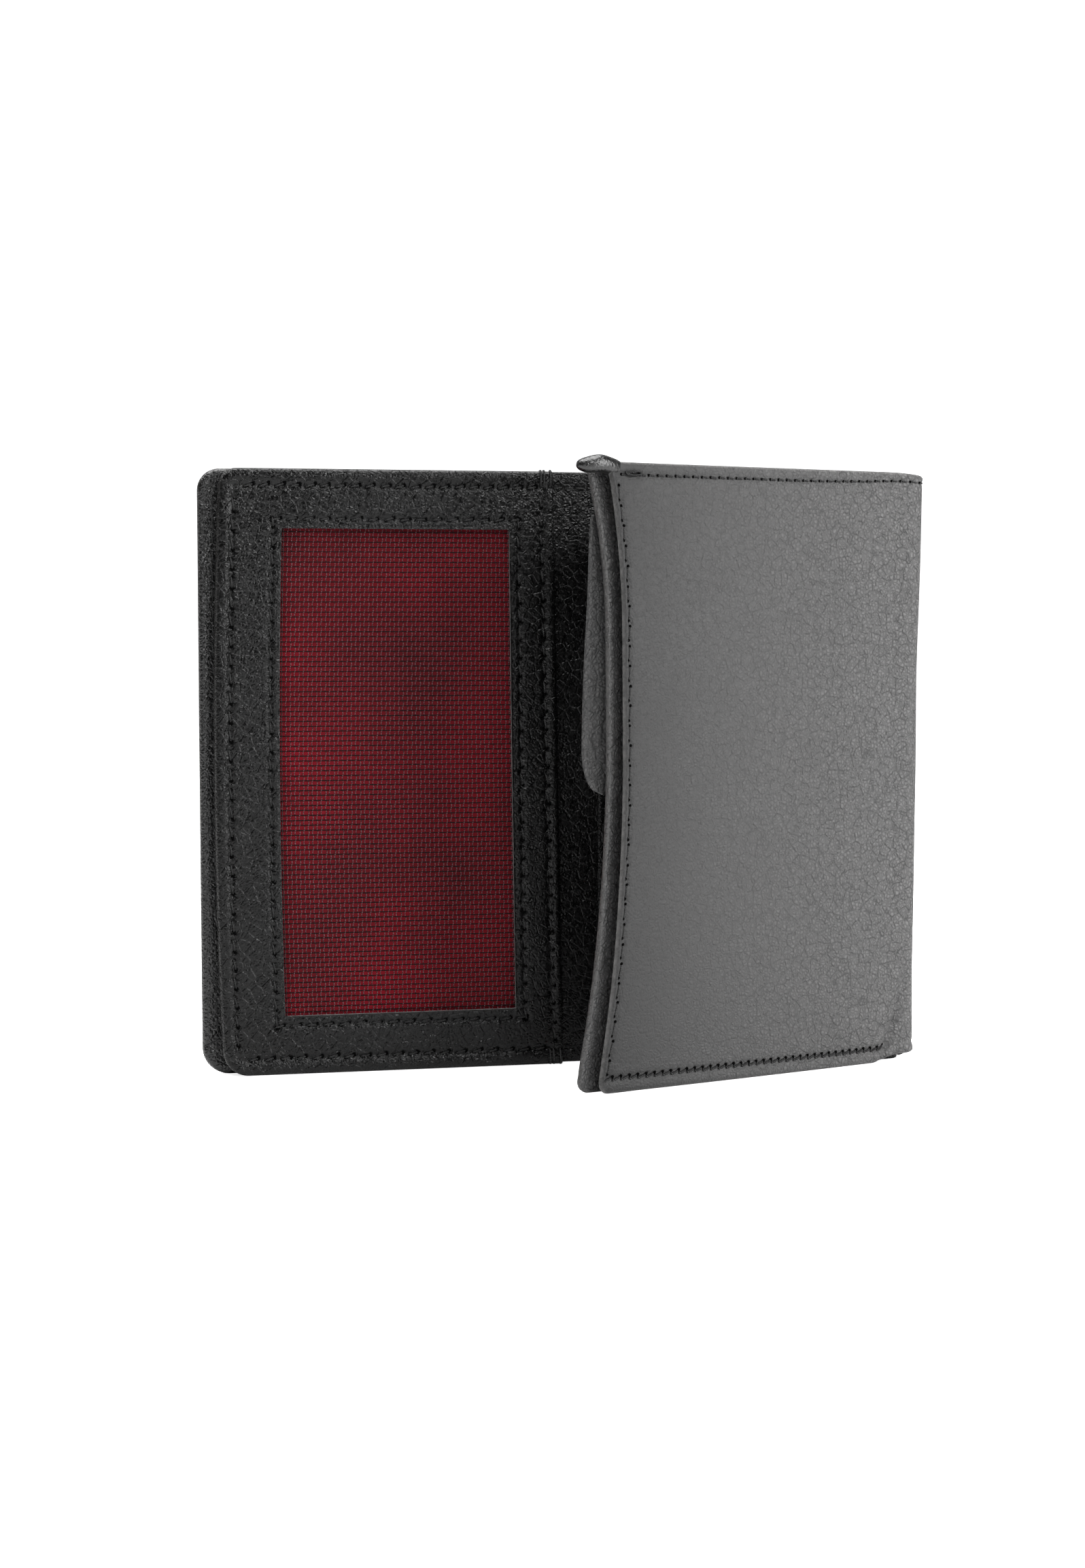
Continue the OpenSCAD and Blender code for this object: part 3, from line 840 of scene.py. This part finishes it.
for tag, node in (("left", "stiffener_left"), ("centre", "stiffener_centre"), ("flap", "stiffener_right")):
    zone = OUTER_ZONES[tag]
    x0 = zone.x0 + (HEM if tag == "left" else 1.0)
    x1 = zone.x1 - (HEM if tag == "flap" else 1.0)
    stiff = plate(
        "board_" + tag, zone, lines(x0, x1, 2.0), lines(HEM, HEIGHT - HEM, 2.0, "ab"), board_depths, None,
        [BOARD], warp_outer, margin=HEM, round_edge=0.1,
    )
    declare(node)

# Seams on the outside of the flap
FLAP_ZONE = OUTER_ZONES["flap"]
rows = [stitch(a, b, back_face, 1, 0.10) for a, b in edge_seam]
tubes("flap_edge_stitches", FLAP_ZONE, rows, THREAD_R, "flap_edge_thread", warp_outer)
holes = [hole for pair in edge_seam for hole in pair]
needle_holes("needle_holes_edge", FLAP_ZONE, holes, back_face, 1, 0.24, warp_outer)
for name, tag, node in (("flap", "flap", "flap_top_thread"), ("bend", "right_bend_b", None)):
    zone = OUTER_ZONES[tag]
    here = [(a, b) for a, b in top_seam_pairs if zone.x0 <= (a[0] + b[0]) / 2 < zone.x1]
    rows = [stitch(a, b, back_face, 1, 0.08) for a, b in here]
    tubes("top_stitches_" + name, zone, rows, THREAD_R, node, warp_outer)
    holes = [b for a, b in top_seam_pairs if zone.x0 <= b[0] < zone.x1]
    needle_holes("needle_holes_top_" + tag, zone, holes, back_face, 1, 0.22, warp_outer)
on_leaf = [pair[0][0] > FLAP_ZONE.x0 for pair in low_pairs]
rope = [stitch(a, b, back_face, 1, 0.20, 0.25) for (a, b), on in zip(low_pairs, on_leaf) if on]
tubes("bottom_stitches_flap", FLAP_ZONE, rope, 0.23, "flap_bottom_thread", warp_outer)
holes = [hole for hole, on in zip(low_holes, on_leaf) if on]
needle_holes("needle_holes_bottom", FLAP_ZONE, holes, back_face, 1, 0.30, warp_outer)

# Seams along the long edges of the other two leaves, and down the left leaf's free edge
for tag, node in (("centre", "shell_centre_thread"), ("left", "shell_left_thread")):
    zone = OUTER_ZONES[tag]
    x0 = zone.x0 + (CORNER + 0.5 if tag == "left" else 0.3)
    rows = []
    for z in (HEM_LOW, HEIGHT - HEM_HIGH):
        rows += sewn(back_face, 1, 0.08, (x0, z), (zone.x1 - 0.3, z), 1.8, 0.7, 0.1, 0.03)
    if tag == "left":
        x = LEFT_FREE + 2.6
        rows += sewn(level(Y_OUTER + 0.03), -1, 0.08, (x, CORNER), (x, HEIGHT - CORNER), 3.4, 0.7, 0.2)
    tubes("outer_stitches_" + tag, zone, rows, 0.16, node, warp_outer)

# ---- Inner leaf: base leather and its lining, one piece per zone
INNER_HEM = 7.5
INNER_INSET = INNER_HEM - 0.6


def base_depths(x, z, d):
    puff = 0.08 * bump(d, 1.2, 1.0)
    top = 0.10 * bump(z, HEIGHT - 3.0, 0.35) + 0.10 * bump(z, 3.0, 0.35)
    wavy = 0.05 * np.sin(0.5 * x + 0.2 * z) * np.sin(0.13 * z + 1)
    hem = 1 - smooth((d - INNER_HEM) / 0.3)
    soft = 0.06 * np.sin(0.9 * z + 0.3 * x) * np.sin(0.21 * z)
    closed = 0.35 * smooth((x - FLAP_INNER_FREE + 2.5) / 2)
    return Y_BASE - puff + top + wavy, Y_INNER + 0.02 + hem * (Y_BILL - Y_INNER + soft + closed)


def inner_lining_depths(x, z, d):
    return np.full(x.shape, Y_INNER), np.full(x.shape, Y_BILL + 0.03)


inner_replaced = {
    "left": ("inner_base_left", "inner_lining_left"), "left_bend": ("inner_fold_left", None),
    "centre": ("inner_base_centre", "inner_lining_centre"),
    "right_bend_a": ("inner_spine_right", "inner_spine_right_lining"), "right_bend_b": (None, None),
    "flap": ("inner_base_right", "inner_lining_right"),
}
for tag, zone in INNER_ZONES.items():
    left, flap = tag == "left", tag == "flap"
    leather_node, cloth_node = inner_replaced[tag]
    step = 0.6 if tag in ("left_bend", "centre", "flap") else 0.5
    base = plate(
        "inner_" + tag, zone, lines(zone.x0, zone.x1, step, FREE_END.get(tag, "")),
        lines(0, HEIGHT, 0.6, "ab"), base_depths, {"left": INNER_FREE, "flap": FLAP_INNER_FREE}.get(tag),
        [FLAP_INNER if flap else INNER], warp_inner, corner=3.2 if left else 1.8,
        low_corner=4.6 if left else 2.4, round_edge=0.3,
    )
    declare(leather_node)
    x0 = zone.x0 + (INNER_INSET if left else 0.0)
    x1 = zone.x1 - (INNER_INSET if flap else 0.0)
    cloth = plate(
        "leaf_lining_" + tag, zone, lines(x0, x1, 1.2), lines(INNER_INSET, HEIGHT - INNER_INSET, 1.6, "ab"),
        inner_lining_depths, None, [LINING], warp_inner, margin=INNER_INSET, round_edge=0.11, skin=1,
    )
    declare(cloth_node)

# ---- ID pocket: frame leather with its window, mesh, backing and seams
# How far the seams lie inside the long edges and outside the window, and where the two upright ones are
TOP_IN = 3.1
WIN_SEAM = 1.7
hem_x = INNER_FREE + 2.7
mouth_seam_x = MOUTH - 2.1
pocket_zone = Zone("id_pocket", INNER_FREE, MOUTH, ["left_inner"])
WINDOW = (WIN_LOW[0], WIN_HIGH[0], WIN_LOW[2], WIN_HIGH[2])
wx0, wx1, wz0, wz1 = WINDOW


def frame_groove(x, z, d):
    top = bump(z, HEIGHT - TOP_IN, 0.42) + bump(z, TOP_IN, 0.42)
    side = bump(x, hem_x, 0.4) * smooth((z - 2.5) / 1) * smooth((HEIGHT - 2.5 - z) / 1)
    mouth = bump(x, mouth_seam_x, 0.4)
    in_x = smooth((x - wx0 + 2.4) / 0.7) * smooth((wx1 + 2.4 - x) / 0.7)
    in_z = smooth((z - wz0 + 2.4) / 0.7) * smooth((wz1 + 2.4 - z) / 0.7)
    window = (bump(x, wx0 - WIN_SEAM, 0.3) + bump(x, wx1 + WIN_SEAM, 0.3)) * in_z
    window += (bump(z, wz0 - WIN_SEAM, 0.3) + bump(z, wz1 + WIN_SEAM, 0.3)) * in_x
    return 0.17 * np.minimum(top + side, 1) + 0.14 * mouth + 0.16 * window


def frame_front(x, z, d):
    hem = 0.28 * bump(d, 1.35, 1.05) - 0.05 * smooth((d - 3) / 3)
    scuff = 0.10 * bump(x, -92.5, 0.5) * bump(z, 90.5, 0.7)
    lip = 0.22 * bump(MOUTH - x, 0.9, 0.8)
    curl = 0.14 * np.exp(-np.clip(outside(x, z, WINDOW), 0, 9) / 0.8)
    flat = np.where(d < 2.2, d / 2.2, 1.0)
    return Y_FRAME - hem * 0.9 - lip + curl - scuff + wave(x, z) * 0.8 * flat


def frame_depths(x, z, d):
    """Front and back of the frame's leather, with the mouth's edge rounded too."""
    front = frame_front(x, z, d) + frame_groove(x, z, d)
    hem = 1 - smooth((d - 2.9) / 0.3)
    back = (Y_MESH - 0.02) * (1 - hem) + (Y_BASE - 0.05) * hem
    return rounded(front, back, MOUTH - x, 0.5)


def face_at(x, z):
    d = np.minimum(np.minimum(x - INNER_FREE, z), HEIGHT - z)
    return frame_front(x, z, np.maximum(d, 0)) + 0.6 * frame_groove(x, z, d)


# Every stitch of the frame covers this share of its pitch
COVER = 0.62
row_x0, row_x1 = hem_x + 1.3, mouth_seam_x - 0.6
perimeter = seam((row_x0, HEIGHT - TOP_IN), (row_x1, HEIGHT - TOP_IN), 2.85, COVER, 0.45)
perimeter += seam((row_x0, TOP_IN), (row_x1, TOP_IN), 2.95, COVER, 0.45)
perimeter += seam((hem_x, HEIGHT - 5), (hem_x, 5), 3.45, COVER, 0.4)
window_seam = []
for x in (wx0 - WIN_SEAM, wx1 + WIN_SEAM):
    window_seam += seam((x, wz1 + 2.8), (x, wz0 - 2.8), 3.4, COVER, 0.35)
for z in (wz1 + WIN_SEAM, wz0 - WIN_SEAM):
    window_seam += seam((wx0 - 2.6, z), (wx1 + 2.6, z), 3.0, COVER, 0.35)
mouth_seam = seam((mouth_seam_x - 0.5, HEIGHT - 4.0), (mouth_seam_x + 0.5, 4.0), 3.4, COVER, 0.35)
frame_dents = [(-1, x, z, 0.50, 0.36) for pair in perimeter + window_seam + mouth_seam for x, z in pair]
# A small nick in the leather to the left of the window
frame_dents.append((-1, -86.7, 80.2, 0.5, 0.4))


def frame_lines(ends, window):
    """Grid lines over the frame that fall on the window's edges."""
    low = lines(ends[0], window[0], STEP * 0.8, "a")
    high = lines(window[1], ends[1], STEP * 0.8, "b")
    return np.unique(np.round(np.concatenate([low, lines(*window, STEP * 0.9), high]), 4))


pocket = plate(
    "id_frame_leather", pocket_zone, frame_lines((INNER_FREE, MOUTH), (wx0, wx1)),
    frame_lines((0, HEIGHT), (wz0, wz1)), frame_depths, INNER_FREE, [INNER, RAW], warp_inner, corner=3.2,
    low_corner=4.6, round_edge=0.55, dents=frame_dents, hole=WINDOW,
)
declare("id_frame")

for name, pairs in (("perimeter", perimeter), ("window", window_seam), ("mouth", mouth_seam)):
    rows = [stitch(a, b, face_at, -1, 0.04, 0.35) for a, b in pairs]
    tubes(f"id_{name}_stitches", pocket_zone, rows, THREAD_R, f"id_{name}_thread", warp_inner)
for name, pairs, radius in (("hem", perimeter + mouth_seam, 0.27), ("window", window_seam, 0.20)):
    needle_holes("needle_holes_" + name, pocket_zone, [b for a, b in pairs], face_at, -1, radius, warp_inner)

# Bar tacks over both ends of the mouth. The last fifth of each turns over the edge
tacks = []
t = np.linspace(0, 1, 10)
for x in (mouth_seam_x - 0.35, mouth_seam_x + 0.3, mouth_seam_x + 1.5):
    for z0, z1 in ((HEIGHT - TOP_IN, HEIGHT + 0.12), (TOP_IN, 0.18)):
        z = z0 + (z1 - z0) * np.clip(t / 0.8, 0, 1)
        y = face_at(np.full(10, x), np.clip(z0 + (z1 - z0) * t, 0.6, HEIGHT - 0.6)) - 0.1
        y = y + np.clip((t - 0.8) / 0.2, 0, 1) * 1.6 + 0.35 * (t < 0.02)
        tacks.append(np.column_stack([np.full(10, x), y, z]))
tubes("bar_tack_stitches", pocket_zone, tacks, THREAD_R, "bar_tacks", warp_inner)

rows = []
for z in ROWS:
    rows += sewn(level(Y_BASE - 0.02), -1, 0.10, (MOUTH + 0.4, z), (STRIP_END - 0.2, z), 1.7, 0.66, 0.2)
tubes("fold_seam_stitches", INNER_ZONES["left_bend"], rows, THREAD_R, "fold_seam_thread", warp_inner)

# Backing cloth behind the card, and the woven window
BACK_MARGIN, MESH_MARGIN = 4, 1.2
back_x0, back_x1 = wx0 - BACK_MARGIN, wx1 + BACK_MARGIN
back_z0, back_z1 = wz0 - BACK_MARGIN, wz1 + BACK_MARGIN
backing_zone = Zone("backing", back_x0, back_x1, ["left_inner"])


def backing_depths(x, z, d):
    near = 0.32 + 0.16 * np.sin(0.16 * x + 1.1) * np.sin(0.05 * z) + 0.05 * np.sin(0.5 * x + 0.3 * z)
    front = Y_BASE - 0.10 - near * smooth((x - back_x0) / 8) * smooth((back_x1 - x) / 8)
    return front, front + 0.12


backing = plate(
    "id_backing_cloth", backing_zone, lines(back_x0, back_x1, 0.9), lines(back_z0, back_z1, 0.9),
    backing_depths, None, [BACKING], warp_inner, margin=back_z0, round_edge=0.06, skin=0,
)
declare("id_backing")

PITCH_X, PITCH_Z = 0.785, 0.90
mesh_x0, mesh_x1 = wx0 - MESH_MARGIN, wx1 + MESH_MARGIN
mesh_z0, mesh_z1 = wz0 - MESH_MARGIN, wz1 + MESH_MARGIN
count_x = int((mesh_x1 - mesh_x0) / PITCH_X)
count_z = int((mesh_z1 - mesh_z0) / PITCH_Z)


def mesh_plane(x, z):
    return (Y_MESH + Y_MESH_BACK) / 2 + 0.06 * np.sin(0.09 * x + 2) * np.sin(0.045 * z) - 0.05


def woven(name):
    """Plain weave: each warp thread passes over and under the wefts in turn, and leans a little."""
    verts, faces, slots = [], [], []

    def strand(points, radius_a, radius_b, slot):
        """A thread of four flat sides, radius_a wide along the cloth and radius_b through it."""
        side = directions(points, [0.0, -1.0, 0.0])[1] * radius_a
        out = np.array([0.0, -radius_b, 0.0])
        first = sum(len(v) for v in verts)
        ring = np.stack([points + side, points + out, points - side, points - out], 1)
        verts.append(ring.reshape(-1, 3))
        n = len(points)
        k = np.arange(n - 1)[:, None] * 4 + first
        s = np.arange(4)[None]
        quads = np.stack([k + s, k + (s + 1) % 4, k + (s + 1) % 4 + 4, k + s + 4], -1).reshape(-1, 4)
        faces.append(quads)
        slots.append(np.full(len(quads), slot))

    for i in range(count_x + 1):
        x = mesh_x0 + i * PITCH_X
        k = np.arange(2 * count_z + 1)
        z = mesh_z0 + k * PITCH_Z / 2
        over = np.cos(math.pi * (k / 2 + i))
        lean = 0.11 * np.sin(math.pi * (k / 2 + i))
        drift = RNG.normal(0, 0.018)
        points = np.column_stack([x + lean + drift + 0 * z, mesh_plane(x, z) - 0.12 * over, z])
        strand(points, 0.080, 0.080, 0)
    for j in range(count_z + 1):
        z = mesh_z0 + j * PITCH_Z
        k = np.arange(2 * count_x + 1)
        x = mesh_x0 + k * PITCH_X / 2
        over = -np.cos(math.pi * (k / 2 + j))
        drift = RNG.normal(0, 0.018)
        points = np.column_stack([x, mesh_plane(x, z) - 0.07 * over, z + drift + 0 * x])
        strand(points, 0.110, 0.070, 1)
    verts, faces, slots = np.vstack(verts), np.vstack(faces), np.concatenate(slots)
    obj = make_mesh(name, warp_inner(verts), faces.tolist(), [WARP_YARN, WEFT_YARN], slots.tolist())
    around = np.tile([0, 0.25, 0.5, 0.75], len(verts) // 4)
    along_lay(obj, np.column_stack([verts[:, 2] + verts[:, 0], around]))
    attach(obj, "left_inner")
    return obj


mesh = woven("id_window_mesh")
declare("id_mesh")

# ---- Card slots on the centre, and the slip pocket on the flap's inner face
def unwarped(p):
    return p


def slot_depths_of(node):
    """Front and back of a card slot's leather, with a turned edge at its mouth."""
    (x0, y_front, _), (_, y_rear, _) = box(node)

    def depths(x, z, d):
        hem = 0.12 * bump(x - x0, 0.8, 0.6) - 0.08 * bump(x - x0, 1.9, 0.3)
        return rounded(y_front + 0.03 - hem, y_rear - 0.02, x - x0, 0.28, (y_front + y_rear) / 2)

    return depths


SLOT_X1 = INNER_A[0] - I_REACH + 1.0
for node in ("card_slot_back", "card_slot_middle", "card_slot_front"):
    zone = Zone(node, box(node)[0][0], SLOT_X1, ["centre"])
    piece = plate(
        node + "_leather", zone, lines(zone.x0, zone.x1, 0.6, "a"), lines(0.2, HEIGHT - 0.2, 0.7, "ab"),
        slot_depths_of(node), None, [INNER], unwarped, margin=0.2, round_edge=0.28,
    )
    declare(node)


def pocket_rows(y, upright_x, upright_z, x0, x1):
    """A pocket's stitches, on its face at depth y: upright at the closed end, and along both long edges."""
    rows = sewn(level(y), -1, 0.08, (upright_x, upright_z), (upright_x, HEIGHT - upright_z), 3.4, 0.66, 0.2)
    for z in ROWS:
        rows += sewn(level(y), -1, 0.08, (x0, z), (x1, z), 3.4, 0.66, 0.2)
    return rows


slot_x0, slot_y, _ = box("card_slot_front")[0]
rows = pocket_rows(slot_y + 0.03, SLOT_X1 - 1.4, 3, slot_x0 + 2, SLOT_X1 - 2.5)
tubes("card_slot_stitches", Zone("slots", 0, 1, ["centre"]), rows, THREAD_R, "card_slot_thread")

SLIP_MOUTH = FLAP_INNER_FREE - 4.0
slip_x0 = INNER_FLAP_START + 0.3
slip_zone = Zone("slip", slip_x0, SLIP_MOUTH, ["flap_inner"], then=FOLD_INNER)


def slip_depths(x, z, d):
    front, back = rounded(np.full(x.shape, Y_BASE - 0.75), Y_BASE - 0.12, SLIP_MOUTH - x, 0.3)
    return front - 0.1 * bump(SLIP_MOUTH - x, 1.0, 0.8), back


slip = plate(
    "slip_pocket_leather", slip_zone, lines(slip_x0, SLIP_MOUTH, 0.8, "b"),
    lines(0.2, HEIGHT - 0.2, 0.8, "ab"), slip_depths, None, [INNER], warp_inner, margin=0.2, round_edge=0.3,
)
declare("slip_pocket")
rows = pocket_rows(Y_BASE - 0.75, slip_x0 + 2, 4, slip_x0 + 3, SLIP_MOUTH - 1.5)
tubes("slip_pocket_stitches", slip_zone, rows, THREAD_R, "slip_pocket_thread", warp_inner)

# The soft lip of the slip pocket's tongue, which gapes behind the flap's free edge
LIP_LOW, LIP_HIGH = 52.5, 101.0
lip_zone = Zone("lip", 0, 1, ["flap_inner"], then=FOLD_INNER)


def lip_mesh():
    """A tongue of leather from under the slip pocket, opening towards its round lower corner."""
    U, V = np.meshgrid(np.linspace(0, 1, 26), np.linspace(0, 1, 60), indexing="ij")
    z = LIP_LOW + (LIP_HIGH - LIP_LOW) * V
    open_ = np.sin(math.pi * np.clip(1 - V, 0, 1) ** 0.62 * 0.5) ** 1.2
    foot = np.sqrt(np.clip(1 - (1 - np.clip(V / 0.16, 0, 1)) ** 2, 0, 1))
    reach = 0.2 + 3.3 * open_ * foot
    x = FLAP_INNER_FREE - 6.5 + (6.3 + reach) * U
    y = Y_BASE - 0.95 - 2.2 * open_ * foot * smooth(U * 1.1) * (0.4 + 0.6 * U)
    thick = 0.75 * np.sqrt(np.clip(1 - np.clip((U - 0.94) / 0.06, 0, 1) ** 2, 0, 1)) + 0.02
    verts = [np.column_stack([x.ravel(), (y + side * thick / 2).ravel(), z.ravel()]) for side in (-1, 1)]
    n, m = U.shape
    front = grid_faces(n, m)
    faces = front.tolist() + (front[:, ::-1] + n * m).tolist()
    rim = [i * m for i in range(n)] + [(n - 1) * m + j for j in range(1, m)]
    rim += [i * m + m - 1 for i in range(n - 2, -1, -1)] + list(range(m - 2, 0, -1))
    for a, b in zip(rim, rim[1:] + rim[:1]):
        faces.append([b, a, n * m + a, n * m + b])
    verts = lip_zone.place(warp_inner(np.vstack(verts)))
    obj = make_mesh("slip_pocket_lip", verts, faces, [FLAP_INNER], edge=np.full(len(verts), 5.0))
    lip_zone.join(obj)
    declare()


lip_mesh()


def corner_cap():
    """The leather gathered over the flap's top corner: a blunt ellipsoid, bent a little."""
    n, m = 40, 28
    a = np.linspace(0, 2 * math.pi, n, endpoint=False)
    b = np.linspace(-math.pi / 2, math.pi / 2, m)
    A, B = np.meshgrid(a, b, indexing="ij")

    def curve(v):
        return (np.sign(v) * np.abs(v) ** 0.8).ravel()

    x = OUTER_FREE + 1.0 + 4.2 * curve(np.cos(A)) * curve(np.cos(B))
    y = -0.7 + 1.9 * curve(np.sin(A)) * curve(np.cos(B))
    z = HEIGHT - 0.7 + 1.55 * curve(np.sin(B))
    u = (x - OUTER_FREE) / 3.4
    z += 0.35 * bump(u, 0.4, 0.5) - 0.25 * np.clip(-u, 0, 1) ** 2
    y += 0.2 * np.sin(3 * u)
    p = np.column_stack([x, y, z])
    zone = Zone("cap", 0, 1, ["flap_outer"], then=FOLD_OUTER)
    faces = grid_faces(n, m, ring=True).tolist()
    unworn = np.full(len(p), 5.0)
    obj = make_mesh("flap_corner_cap", zone.place(warp_outer(p)), faces, [POLISHED], edge=unworn)
    zone.join(obj)
    declare()


corner_cap()

# The tied end of the thread, beside the cap
knot_paths = []
t = np.linspace(0, 2 * math.pi, 22)
for k in range(5):
    r = 0.55 + 0.12 * k
    knot_paths.append(np.column_stack([
        OUTER_FREE - 5.2 + r * np.cos(t + k) * 1.5 + 0.15 * k,
        Y_BACK + 0.12 + 0.16 * np.sin(2 * t + k),
        HEIGHT - 1.9 + 0.42 * r * np.sin(t + k),
    ]))
tubes("thread_knot", FLAP_ZONE, knot_paths, 0.15, None, warp_outer)

# ---- Floor, backdrop and light
def stage_plane(name, size, place, turn, material):
    h = size / 2
    me = bpy.data.meshes.new(name)
    me.from_pydata([(-h, -h, 0), (h, -h, 0), (h, h, 0), (-h, h, 0)], [], [(0, 1, 2, 3)])
    me.materials.append(material)
    obj = bpy.data.objects.new(name, me)
    obj.location, obj.rotation_euler = place, turn
    bpy.context.scene.collection.objects.link(obj)


def white(name, glow, seen):
    """White paper. Its glow is glow for the scene and seen for the camera, so it hardly lights the object."""
    n = Nodes(name)
    by_camera = n.add("ShaderNodeLightPath").outputs["Is Camera Ray"]
    n.surface(
        Base_Color=grey(0.85),
        Roughness=0.9,
        Specular_IOR_Level=0.0,
        Emission_Color=grey(1.0),
        Emission_Strength=n.mapped((0.0, 1.0), (glow, seen), by_camera),
    )
    return n.mat


stage_plane("floor", 8.0, (0, 0, 0), (0, 0, 0), white("floor_white", 0.0, 0.8))
stage_plane("backdrop", 8.0, (0, 2.2, 2), (math.pi / 2, 0, 0), white("backdrop_white", 0.3, 1.1))


def put_at(name, data, right, up, back, place):
    """An object at a place, turned so that its own x, y and z axes point right, up and back."""
    obj = bpy.data.objects.new(name, data)
    matrix = Matrix.Identity(4)
    for k in range(3):
        matrix[k][0], matrix[k][1], matrix[k][2], matrix[k][3] = right[k], up[k], back[k], place[k]
    obj.matrix_world = matrix
    bpy.context.scene.collection.objects.link(obj)
    return obj


def area(name, place, target, size, power):
    """A square soft light that shines from a place to a target."""
    light = bpy.data.lights.new(name, "AREA")
    light.shape = "RECTANGLE"
    light.size, light.size_y, light.energy = size, size, power
    back = np.array(place, float) - np.array(target, float)
    back /= np.linalg.norm(back)
    right = np.cross([0, 0, 1.0], back)
    right /= np.linalg.norm(right)
    put_at(name, light, right, np.cross(back, right), back, place)


centre_point = (0.0, -0.02, 0.055)
area("right_softbox", (0.78, -0.62, 0.30), centre_point, 0.7, 13.2)
area("overhead", (-0.10, -0.02, 0.75), (0, 0, 0), 0.8, 14)
area("front_top", (0.22, -0.95, 0.58), centre_point, 0.25, 4)

world = bpy.data.worlds.new("world")
bpy.context.scene.world = world
world.use_nodes = True
background = world.node_tree.nodes["Background"].inputs
background["Color"].default_value = (1, 1, 1, 1)
background["Strength"].default_value = 0.05

# ---- Camera
yaw, pitch = math.radians(12.515), math.radians(4.0)
forward = np.array([math.sin(yaw) * math.cos(pitch), math.cos(yaw) * math.cos(pitch), -math.sin(pitch)])
right = np.array([math.cos(yaw), -math.sin(yaw), 0])
eye = (-0.13592, -0.45262, 0.08459)
camera = put_at("camera", bpy.data.cameras.new("camera"), right, np.cross(right, forward), -forward, eye)
camera.data.lens, camera.data.sensor_width = 57.13, 36.0
camera.data.clip_start = 0.01
bpy.context.scene.camera = camera
bpy.context.scene.view_settings.view_transform = "Standard"
